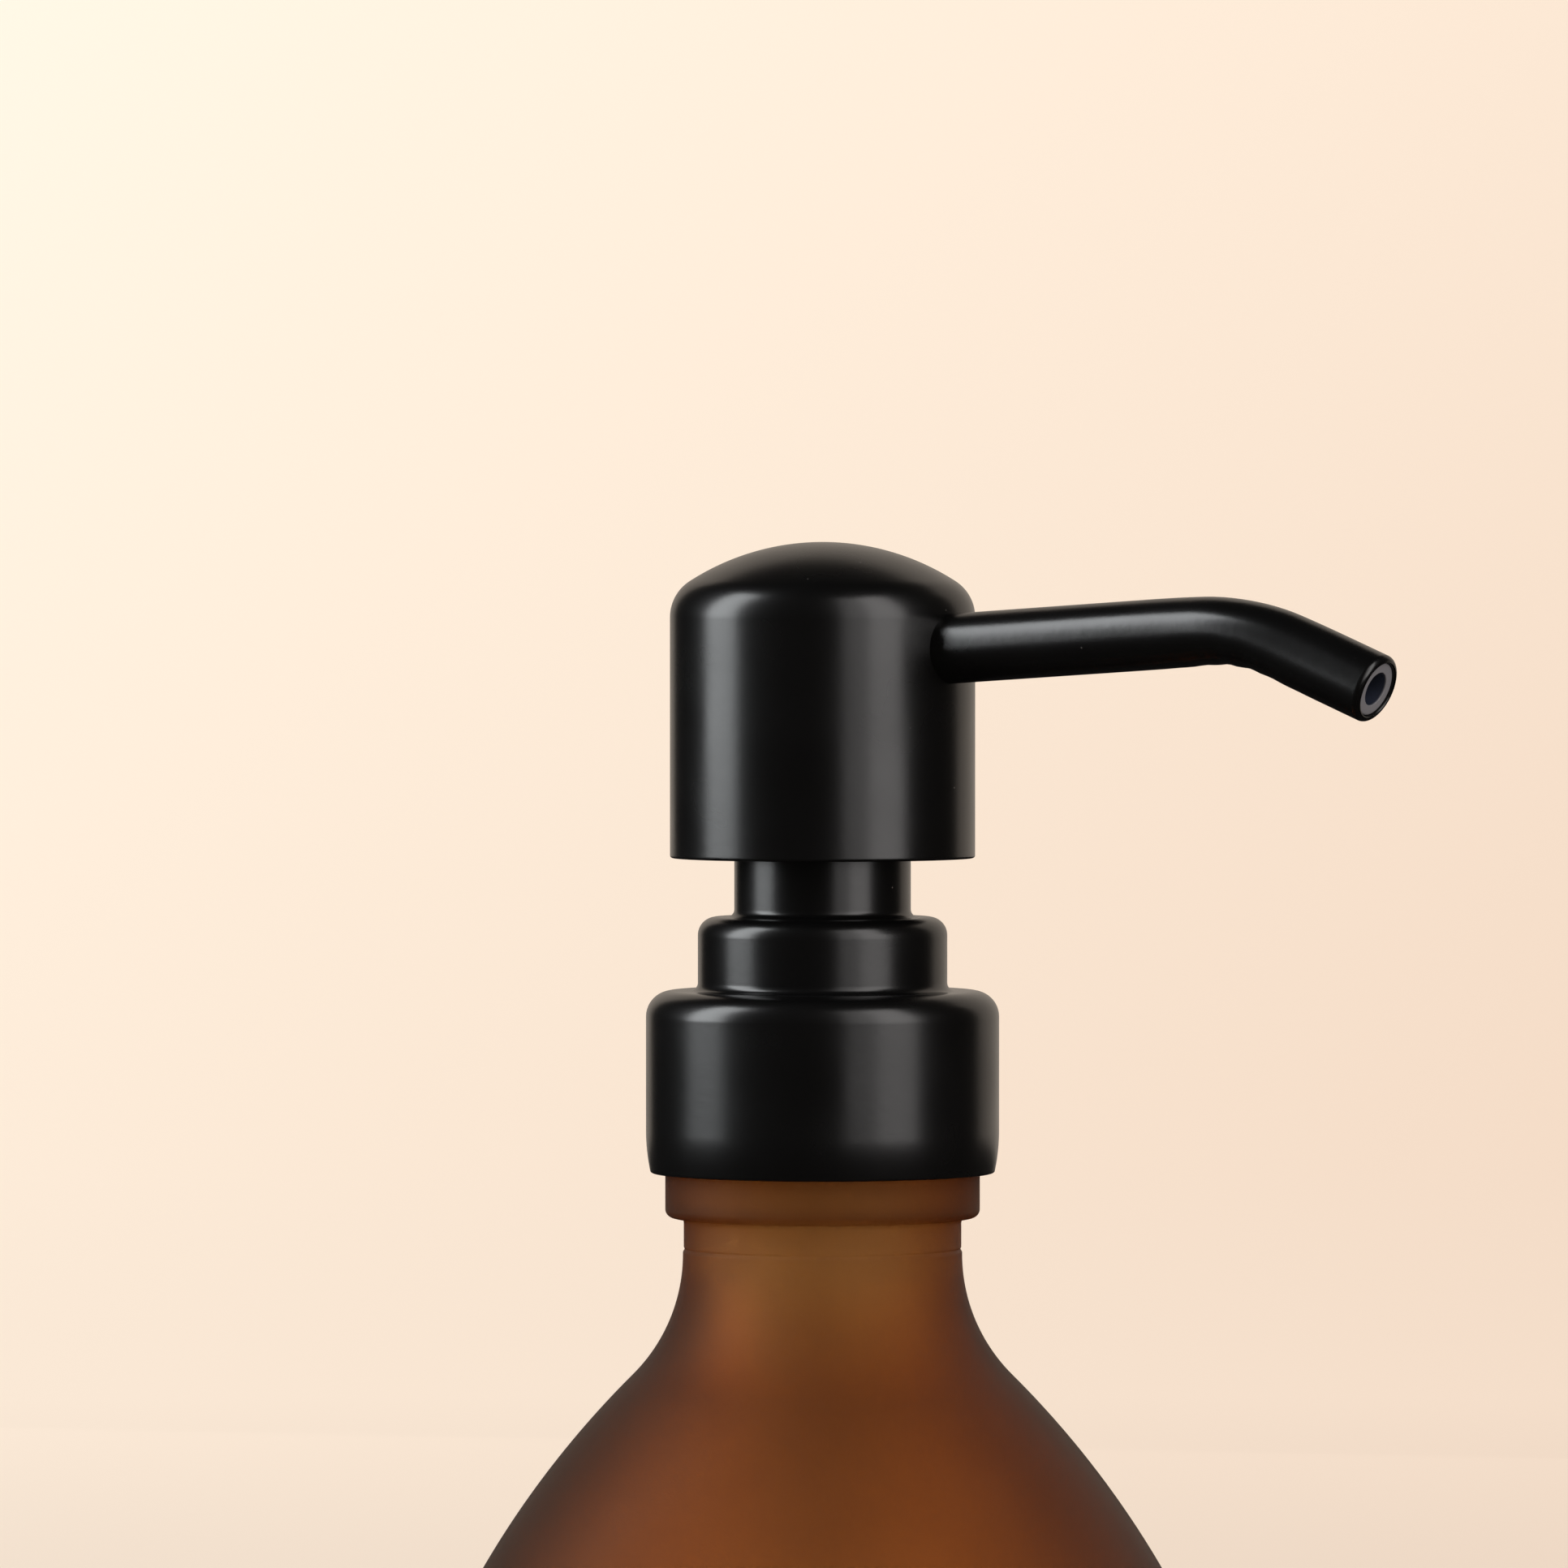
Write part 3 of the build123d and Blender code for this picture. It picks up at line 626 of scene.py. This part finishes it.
# %% Stainless steel
def stainless(name, roughness, stretch):
    """Steel with fine drawing lines along the stretch."""
    material, tree, shader = new_finish(name, Metallic=1.0)
    lines = noise(tree, 2.0, stretch=stretch)
    tree.links.new(two_tones(tree, lines, (0.52, 0.52, 0.54), (0.64, 0.64, 0.66)), shader["Base Color"])
    tree.links.new(between(tree, lines, *roughness), shader["Roughness"])
    bumped(tree, lines, 0.002, shader)
    return material


spring_steel = stainless("spring_steel", (0.18, 0.32), (1, 1, 6))
ball_steel = stainless("ball_steel", (0.05, 0.12), (1, 1, 1))

# %% [markdown]
# ## The bottle
# One blown glass wall, about 2.6 mm thick and thinner in the neck: a heel, an upright body, two shoulder
# arcs that run into each other, a hollow sweep up to the neck, a fine groove where two halves of the mould
# met, the bead that the filling machine holds it by, and the screw finish. We work out where the arcs
# touch, as the mould maker does, then lathe the outline with the screw ridge in the same tree. The rows of
# the finish lie close together, so that the ridge comes out crisp.

# %% Bottle sizes
glass_wall = 2.6 * MM
base_thickness = 4.5 * MM
push_up = 2.5 * MM
foot_width = 5.0 * MM
heel_radius = 7.0 * MM
low_shoulder_radius = 61.0 * MM
high_shoulder_radius = 88.0 * MM
shoulder_break = radians(30.5)
neck_radius = 13.05 * MM
neck_sweep_radius = 16.0 * MM
mouth_radius = 9.3 * MM
neck_bore = 11.2 * MM
bead_bore = 12.5 * MM
bore_sweep_radius = 16.0 * MM
bead_radius = 14.7 * MM
finish_radius = 12.55 * MM
bead_top_z = mouth_z - 10.0 * MM
bead_bottom_z = bead_top_z - 6.4 * MM
neck_foot_z = bead_bottom_z - 3.4 * MM
groove_z = bead_bottom_z - 2.9 * MM
groove_step = 0.08 * MM
groove_depth = 0.18 * MM
glass_corner = 0.5 * MM
bead_round = 0.8 * MM
mouth_round = 0.9 * MM
bore_round = 0.7 * MM
bulge_round = 0.8 * MM
finish_foot = 1.0 * MM
mouth_edge = 1.2 * MM
row_spacing = 0.12 * MM
HEEL_STEPS = 12
WALL_STEPS = 24
FLOOR_STEPS = 14
thread = {
    "Ridge depth": 1.15 * MM,
    "Ridge pitch": 25.4 / 6 * MM,
    "Ridge start": mouth_z - 7.4 * MM,
    "Ridge turns": 1.1,
    "Ridge root": 2.3 * MM,
    "Ridge crest": 1.1 * MM,
}


# %% Bottle outline
def wall_outline(inset, neck, sweep_radius, heel, heel_foot_z):
    """Points of the wall from the heel up to the neck, moved inwards by inset."""
    low = low_shoulder_radius - inset
    high = high_shoulder_radius - inset
    spread = high_shoulder_radius - low_shoulder_radius
    slope = Vector((cos(shoulder_break), sin(shoulder_break)))
    high_x = body_radius - low_shoulder_radius - spread * slope.x
    reach = high_shoulder_radius + neck_sweep_radius
    high_z = neck_foot_z - sqrt(reach**2 - (neck_radius + neck_sweep_radius - high_x)**2)
    high_centre = Vector((high_x, high_z))
    low_centre = high_centre + slope * spread
    run = neck + sweep_radius - high_x
    sweep_centre = Vector((neck + sweep_radius, high_z + sqrt((high + sweep_radius)**2 - run**2)))
    body = body_radius - inset
    heel_z = heel_foot_z + heel
    heel_centre = (body - heel, heel_z)
    body_top = (body, low_centre.y)
    shoulder_middle = high_centre + slope * high
    shoulder_top = high_centre + (sweep_centre - high_centre).normalized() * high
    points = arc_points(heel_centre, (body - heel, heel_foot_z), (body, heel_z), HEEL_STEPS)
    rise = (body_top[1] - heel_z) / HEEL_STEPS
    points += [Vector((body, heel_z + rise * step)) for step in range(HEEL_STEPS + 1)]
    points += arc_points(low_centre, body_top, shoulder_middle, WALL_STEPS)
    points += arc_points(high_centre, shoulder_middle, shoulder_top, WALL_STEPS)
    points += arc_points(sweep_centre, shoulder_top, (neck, sweep_centre.y), WALL_STEPS)
    return points


def finish_rows(low_z, high_z):
    """Close rows up the outside of the screw finish."""
    count = int((high_z - low_z) / row_spacing)
    return [Vector((finish_radius, low_z + (high_z - low_z) * step / count)) for step in range(count + 1)]


def floor_points(centre_z, edge):
    """A shallow dome from the middle of the base down to an edge point."""
    rise = centre_z - edge.y
    shares = [step / FLOOR_STEPS for step in range(FLOOR_STEPS + 1)]
    return [Vector((edge.x * share, edge.y + rise * (1 - share**2))) for share in shares]


def bottle_outline():
    """The whole section, from the middle of the base up outside, over the mouth and down inside."""
    outside = wall_outline(0, neck_radius, neck_sweep_radius, heel_radius, 0)
    inside = wall_outline(
        glass_wall, neck_bore, bore_sweep_radius, heel_radius - glass_wall, base_thickness
    )
    foot = Vector((outside[0].x - foot_width, 0))
    upper_neck = neck_radius - groove_step
    bead = rounded([
        (outside[-1].x, outside[-1].y),
        (neck_radius, groove_z - 0.3 * MM, 0.3 * MM),
        (neck_radius - groove_depth, groove_z, 0.1 * MM),
        (upper_neck, groove_z + 0.15 * MM, 0.1 * MM),
        (upper_neck, bead_bottom_z, glass_corner),
        (bead_radius, bead_bottom_z, bead_round),
        (bead_radius, bead_top_z, glass_corner),
        (finish_radius, bead_top_z, glass_corner),
        (finish_radius, bead_top_z + finish_foot),
    ])
    rows = finish_rows(bead_top_z + finish_foot, mouth_z - mouth_edge)
    mouth = rounded([
        (finish_radius, mouth_z - mouth_edge),
        (finish_radius, mouth_z, mouth_round),
        (mouth_radius, mouth_z, bore_round),
        (mouth_radius, bead_top_z + 0.3 * MM, 1.0 * MM),
        (bead_bore, bead_top_z - 1.6 * MM, 1.0 * MM),
        (bead_bore, bead_bottom_z + 1.2 * MM, bulge_round),
        (neck_bore, bead_bottom_z - 0.3 * MM, bulge_round),
        (neck_bore, inside[-1].y),
    ])
    before = without_doubles(floor_points(push_up, foot) + outside + bead)
    ceiling = floor_points(base_thickness + push_up, inside[0])
    points = without_doubles(before + rows + mouth + inside[::-1] + ceiling[::-1])
    first_inner = len(without_doubles(before + rows + mouth))
    return points, {
        "ridge": range(len(before), len(before) + len(rows) - 1),
        "inner": range(first_inner, len(points)),
    }


# %% Bottle piece
def lathed(name, points, material, segments=192, marks=None, **ridge):
    """Turns an outline into a finished piece."""
    piece = outline_object(name, points, **(marks or {}))
    made = run_tree(piece, lathe, Segments=segments, Material=material, **ridge)
    print(name, len(made.data.polygons), "faces")
    return made


# Enough for a smooth outline, and few enough to keep the bottle under 200,000 triangles.
bottle_segments = 208

points, marks = bottle_outline()
bottle_glass = lathed("bottle_glass", points, amber_glass, bottle_segments, marks, **thread)
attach(bottle_glass, "bottle")
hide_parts("bottle")

# %% [markdown]
# ## The collar shell
# One disc of metal drawn into three steps: the skirt over the nut, a step, and a sleeve that disappears
# into the head. Drawing leaves generous rounds on the outer corners and small hollow rounds where the
# sheet turns up. The foot of the skirt is tucked in a little and rolled over the nut.

# %% Collar piece
shell_wall = 0.6 * MM
step_radius = 11.65 * MM
sleeve_radius = 8.25 * MM
skirt_top_z = skirt_bottom_z + 17.0 * MM
step_top_z = skirt_top_z + 6.9 * MM
tuck = 0.42 * MM
tuck_height = 2.25 * MM
lip = 0.28 * MM


def collar_outline():
    """From the foot up the outside, over the sleeve's rim, and down inside."""
    foot = skirt_radius - tuck
    return rounded([
        (foot - shell_wall, skirt_bottom_z + lip),
        (foot - shell_wall, skirt_bottom_z, 0.25 * MM),
        (foot, skirt_bottom_z, 0.25 * MM),
        (skirt_radius, skirt_bottom_z + tuck_height, 18 * MM),
        (skirt_radius, skirt_top_z, 2.4 * MM),
        (step_radius, skirt_top_z, 0.75 * MM),
        (step_radius, step_top_z, 1.7 * MM),
        (sleeve_radius, step_top_z, 0.7 * MM),
        (sleeve_radius, sleeve_top_z, 0.25 * MM),
        (sleeve_radius - shell_wall, sleeve_top_z, 0.25 * MM),
        (sleeve_radius - shell_wall, step_top_z - shell_wall, 1.3 * MM),
        (step_radius - shell_wall, step_top_z - shell_wall, 1.1 * MM),
        (step_radius - shell_wall, skirt_top_z - shell_wall, 1.3 * MM),
        (skirt_radius - shell_wall, skirt_top_z - shell_wall, 1.8 * MM),
        (skirt_radius - shell_wall, skirt_bottom_z + tuck_height, 10 * MM),
        (foot - shell_wall, skirt_bottom_z + lip),
    ], steps=12)


collar = lathed("collar", collar_outline(), turned_enamel)
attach(collar, "closure")
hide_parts("collar_shell")

# %% [markdown]
# ## The head
# A cap drawn from the same sheet. Its crown is part of a ball, and a tight round leads into the upright
# wall. The rim is cut and rolled, so it catches a thin line of light.

# %% Head piece
crown_radius = 22.9 * MM
crown_round = 4.0 * MM


def head_outline():
    """From the apex down the outside, round the rim, and back up inside."""
    crown_centre = Vector((0, apex_z - crown_radius))
    round_x = head_radius - crown_round
    round_z = crown_centre.y + sqrt((crown_radius - crown_round)**2 - round_x**2)
    round_centre = Vector((round_x, round_z))
    away = (round_centre - crown_centre).normalized()
    inner = head_radius - shell_wall
    wall = rounded([
        (head_radius, round_z),
        (head_radius, rim_z, 0.25 * MM),
        (inner, rim_z, 0.25 * MM),
        (inner, round_z),
    ])
    points = arc_points(crown_centre, (0, apex_z), crown_centre + away * crown_radius, 40)
    points += arc_points(round_centre, points[-1], (head_radius, round_z), 16)
    points += wall
    inner_edge = crown_centre + away * (crown_radius - shell_wall)
    points += arc_points(round_centre, (inner, round_z), inner_edge, 12)
    points += arc_points(crown_centre, points[-1], (0, apex_z - shell_wall), 20)
    return without_doubles(points)


head_cap = lathed("head_cap", head_outline(), turned_enamel)
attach(head_cap, "head")
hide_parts("head_shell")

# %% [markdown]
# ## The spout and its liner
# A metal tube bent near its end, with a thin plastic liner that carries the soap. The axis is two straight
# runs and one arc. The outline runs along the outside, round the lip and back along the bore.

# %% Spout axis
spout_rise = radians(3.65)
spout_droop = radians(22.0)
spout_reach = 46.0 * MM
spout_tip = 59.8 * MM
spout_bend = 20.0 * MM
spout_root = 6.5 * MM
spout_axis_z = rim_z + 18.7 * MM


def spout_axis():
    """The centre line as loose edges, with the distance along it of the bend's middle and its end."""
    def rising(reach):
        return Vector((reach, spout_axis_z + reach * tan(spout_rise)))

    bend = rising(spout_reach)
    fall = Vector((cos(spout_droop), -sin(spout_droop)))
    end = bend + fall * ((spout_tip - spout_reach) / cos(spout_droop))
    points = rounded([rising(spout_root), (bend.x, bend.y, spout_bend), end], steps=40)
    lengths = [(b - a).length for a, b in zip(points, points[1:])]
    axis = outline_object("spout_axis", points)
    before_bend = (bend - rising(spout_root)).length
    return axis, before_bend - 0.3 * MM, sum(lengths)


axis, bend_at, spout_length = spout_axis()
print("spout is", round(spout_length / MM, 1), "mm along its axis")


# %% Spout piece
tube_spacing = 0.8 * MM


def tube_outline(end, outer, inner, lip_size):
    """Outside of a tube from 0 to end, a rounded lip, and its bore back to 0, with the bore marked."""
    count = int(end / tube_spacing)
    along = [(end - lip_size) * step / count for step in range(count + 1)]
    outside = [Vector((outer, distance)) for distance in along]
    bore = [Vector((inner, distance)) for distance in along]
    mouth = rounded([
        (outer, end - lip_size),
        (outer, end, lip_size * 0.98),
        (inner, end, lip_size * 0.35),
        (inner, end - lip_size),
    ])
    points = without_doubles([bore[0]] + outside + mouth + bore[::-1])
    return points, {"inner": range(len(points) - count - 1, len(points))}


def bent_piece(name, outline, material, **bend):
    """Turns an outline, given as points and marks, about the spout's axis."""
    points, marks = outline
    made = run_tree(outline_object(name, points, **marks), bent_lathe, Segments=96, Axis=axis,
                    Material=material, **bend)
    print(name, len(made.data.polygons), "faces")
    return made


bend_shape = {
    "Bend at": bend_at,
    "Bend spread": 5.0 * MM,
    "Flatten": 0.06,
    "Wrinkle": 0.07 * MM,
    "Wrinkle pitch": 3.1 * MM,
}
spout_lip = 0.6 * MM
spout_outline = tube_outline(spout_length, spout_radius, liner_radius, spout_lip)
spout = bent_piece("spout", spout_outline, drawn_enamel, **bend_shape)

liner_bore = 1.6 * MM
liner_lip = 0.2 * MM
liner_gap = 0.02 * MM
liner_set_back = 0.25 * MM
liner_outline = tube_outline(
    spout_length - liner_set_back, liner_radius - liner_gap, liner_bore, liner_lip
)
liner = bent_piece("liner", liner_outline, grey_plastic, **bend_shape)
bpy.data.objects.remove(axis)
for piece, node, slot in ((spout, "spout_tube", "black_paint"), (liner, "spout_liner", "grey_plastic")):
    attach(piece, "head")
    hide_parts(node)

# %% Spring piece
spring_low, spring_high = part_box("spring")
wire_radius = 0.4 * MM
spring_turns = 8.0
coil_radius = (spring_high.y - spring_low.y) / 2 - wire_radius
spring_length = spring_high.z - spring_low.z

start = outline_object("return_spring", [Vector((0, 0)), Vector((0, MM))])
return_spring = run_tree(start, coiler, **{
    "Coil radius": coil_radius,
    "Wire radius": wire_radius,
    "Turns": spring_turns,
    "Bottom": spring_low.z + wire_radius,
    "Length": spring_length - 2 * wire_radius,
    "Closing": 0.65,
    "Steps": 40,
    "Material": spring_steel,
})
print("spring", len(return_spring.data.polygons), "faces,", round(spring_length / MM, 1), "mm long")
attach(return_spring, "pump_engine")
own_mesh(return_spring)
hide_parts("spring")

# %% [markdown]
# ## Finishes for the CAD pieces that stay
# The inner pieces keep their CAD shape. They only need their finish in their material slots.

# %% Finishes of the inner pieces
inner_finishes = {
    "closure_nut": natural_plastic,
    "neck_gasket": foam,
    "pump_housing": natural_plastic,
    "chaplet": natural_plastic,
    "stem_seal": seal_rubber,
    "dip_tube": clear_plastic,
    "inlet_ball": ball_steel,
    "stem": natural_plastic,
    "poppet": natural_plastic,
    "piston": piston_plastic,
    "head_core": black_plastic,
}
for node, finish in inner_finishes.items():
    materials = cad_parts[node].data.materials
    materials.clear()
    materials.append(finish)
print(len(inner_finishes), "CAD pieces have their finish")

# %% [markdown]
# ## The studio
# Product photographers light black gloss by what it mirrors, not by how much light falls on it. Here a
# cool softbox stands far to the left and a warm one to the right, with a dimmer wing beside it that makes
# its edge soft. Each side shows as one stripe down every upright metal wall. The cream backdrop is bright,
# but it is kept out of glossy reflections, so that the enamel stays black from every side.

# %% Camera
view_azimuth = radians(33.0)
view_elevation = radians(1.2)
camera_distance = 1.06
picture_width = 146.4 * MM
sensor = 36.0
aim_right = -3.6 * MM
aim_above_rim = 6.9 * MM


def direction(azimuth, elevation=0.0):
    """Unit vector from the object towards a compass direction, 0 towards -Y."""
    flat = cos(elevation)
    return Vector((sin(azimuth) * flat, -cos(azimuth) * flat, sin(elevation)))


picture_right = Vector((cos(view_azimuth), sin(view_azimuth), 0))
aim = picture_right * aim_right + Vector((0, 0, rim_z + aim_above_rim))
camera_data = bpy.data.cameras.new("camera")
camera_data.lens = sensor * camera_distance / picture_width
camera_data.sensor_width = sensor
camera_data.clip_start = 0.01
camera = bpy.data.objects.new("camera", camera_data)
bpy.context.scene.collection.objects.link(camera)
towards_camera = direction(view_azimuth, view_elevation)
camera.location = aim + towards_camera * camera_distance
camera.rotation_euler = (-towards_camera).to_track_quat("-Z", "Y").to_euler()
bpy.context.scene.camera = camera
print("lens", round(camera_data.lens, 1), "mm")


# %% Lights
cool_white = (0.95, 0.985, 1.0)
warm_white = (1.0, 0.965, 0.95)
backdrop_cream = (1.0, 0.87, 0.74)


def softbox(name, azimuth_deg, half_width_deg, distance, low_z, high_z, radiance, colour):
    """An upright light panel that faces the object. Its azimuth is counted to the right of the camera."""
    data = bpy.data.lights.new(name, "AREA")
    data.shape = "RECTANGLE"
    data.size = 2 * distance * tan(radians(half_width_deg))
    data.size_y = high_z - low_z
    data.energy = radiance * pi * data.size * data.size_y
    data.color = colour
    lamp = bpy.data.objects.new(name, data)
    bpy.context.scene.collection.objects.link(lamp)
    away = direction(view_azimuth + radians(azimuth_deg))
    lamp.location = away * distance + Vector((0, 0, (low_z + high_z) / 2))
    lamp.rotation_euler = (-away).to_track_quat("-Z", "Y").to_euler()
    lamp.visible_camera = False
    print(name, round(data.size, 2), "x", round(data.size_y, 2), "m,", round(data.energy, 1), "W")
    return lamp


softbox("left_strip", -83, 14.5, 1.0, 0.16, 1.5, 7.4, cool_white)
softbox("right_box", 50, 14, 1.2, 0.08, 1.8, 3.4, warm_white)
softbox("right_wing", 26, 11, 1.2, 0.08, 1.8, 1.6, warm_white)

# %% [markdown]
# ### Floor and backdrop
# One big bowl: a flat pale floor that rises into a round wall on all sides, so that every view has a clean
# background. Most of its light is its own, which stands for the lamps that a studio points at its
# backdrop. It glows less near the object. Its shading from cream at the upper left to a darker, pinker tone
# at the lower right is painted light falloff, in its glow and in its paper colour alike. The floor lies a
# hair below the bottle, so that the two surfaces don't share a plane.

# %% Bowl
bowl_light = (0.99, 0.90, 0.775)
bowl_dark = (0.85, 0.68, 0.55)
paper_white = 0.25
glow_near, glow_far = 0.58, 0.90
near_reach, far_reach = 0.3, 1.8
falloff_bright_end, falloff_dim_end = -0.69, 0.29


def bowl_finish():
    """Paper that mostly glows by itself, so the background stays even, and still takes a soft shadow."""
    material, tree, shader = new_finish("studio_paper", Roughness=0.9, Specular_IOR_Level=0.1)
    place = tree.nodes.new("ShaderNodeTexCoord").outputs["Object"]
    slant = tuple((picture_right - Vector((0, 0, 1))) * 0.9)
    across = put(tree, "ShaderNodeVectorMath", place, slant, operation="DOT_PRODUCT").outputs["Value"]
    # Painted light falloff: glow and paper colour both darken and turn pinker towards the lower right.
    shade = between(tree, across, 0.0, 1.0, falloff_bright_end, falloff_dim_end)
    tree.links.new(two_tones(tree, shade, bowl_light, bowl_dark), shader["Emission Color"])
    dim = [tuple(paper_white * c for c in tone) for tone in (bowl_light, bowl_dark)]
    tree.links.new(two_tones(tree, shade, *dim), shader["Base Color"])
    reach = put(tree, "ShaderNodeVectorMath", place, operation="LENGTH").outputs["Value"]
    glow = between(tree, reach, glow_near, glow_far, near_reach, far_reach)
    tree.links.new(glow, shader["Emission Strength"])
    return material


bowl_radius = 3.6
bowl_height = 3.0
bowl_round = 0.8
floor_z = -0.05 * MM
bowl_points = rounded(
    [(0, floor_z), (bowl_radius, floor_z, bowl_round), (bowl_radius, bowl_height)], steps=32
)
bowl = lathed("studio_bowl", bowl_points, bowl_finish(), 128)
bowl.visible_glossy = False
bowl.visible_transmission = False
bowl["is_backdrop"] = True

# %% [markdown]
# The bottle needs surroundings of its own. Frosted glass gathers light from everywhere behind it, so an
# even bright room makes it look flat and too light at its sides. A second, slightly smaller drum stands
# in for the room, seen only by rays that go through glass: bright at the back, dim at the front.

# %% Room for the glass
front_glow, back_glow = 0.33, 1.0
room_radius = 3.0
room_height = 2.4
room_floor_z = -0.02
room_opening = 0.02


def glow_room_finish():
    """Glow that falls from the back of the room, seen from the camera, to its front."""
    material, tree, shader = new_finish(
        "glow_room", Roughness=1.0, Base_Color=(0, 0, 0, 1), Specular_IOR_Level=0.0,
        Emission_Color=(1.0, 0.88, 0.76, 1)
    )
    place = tree.nodes.new("ShaderNodeTexCoord").outputs["Object"]
    flat = put(tree, "ShaderNodeVectorMath", place, (1.0, 1.0, 0.0), operation="MULTIPLY").outputs[0]
    unit = put(tree, "ShaderNodeVectorMath", flat, operation="NORMALIZE").outputs[0]
    back = tuple(-direction(view_azimuth))
    facing = put(tree, "ShaderNodeVectorMath", unit, back, operation="DOT_PRODUCT").outputs["Value"]
    tree.links.new(between(tree, facing, front_glow, back_glow, -0.2, 1.0), shader["Emission Strength"])
    return material


room_points = [Vector(corner) for corner in (
    (room_opening, room_floor_z),
    (room_radius, room_floor_z),
    (room_radius, room_height),
    (room_opening, room_height),
)]
glow_room = lathed("glow_room", room_points, glow_room_finish(), 96)
for kind in ("camera", "diffuse", "glossy", "shadow", "volume_scatter"):
    setattr(glow_room, "visible_" + kind, False)
glow_room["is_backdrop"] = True

# %% [markdown]
# The enamel should still mirror the bright backdrop at its outlines, where gloss is strongest. One more
# panel stands behind the object for that. It lights no matt surface: only reflections see it, and rays
# that go through the glass.

# %% Rim light
rim_glow = softbox("rim_glow", 166, 44, 1.6, 0.0, 1.8, 0.55, backdrop_cream)
rim_glow.visible_diffuse = False
rim_glow.visible_volume_scatter = False

# %% World
world = bpy.data.worlds.new("studio_air")
world.use_nodes = True
world.node_tree.nodes["Background"].inputs["Color"].default_value = (1.0, 0.97, 0.94, 1)
world.node_tree.nodes["Background"].inputs["Strength"].default_value = 0.015
bpy.context.scene.world = world
bpy.context.scene.view_settings.view_transform = "Standard"

# %% [markdown]
# ## Compare the boxes
# The render pieces must stay inside the CAD model's box. We print how far the two boxes differ.

new_low, new_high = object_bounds()
differences = (*(new_low - cad_low), *(new_high - cad_high))
print("visual box differs by mm", [round(v / MM, 3) for v in differences])
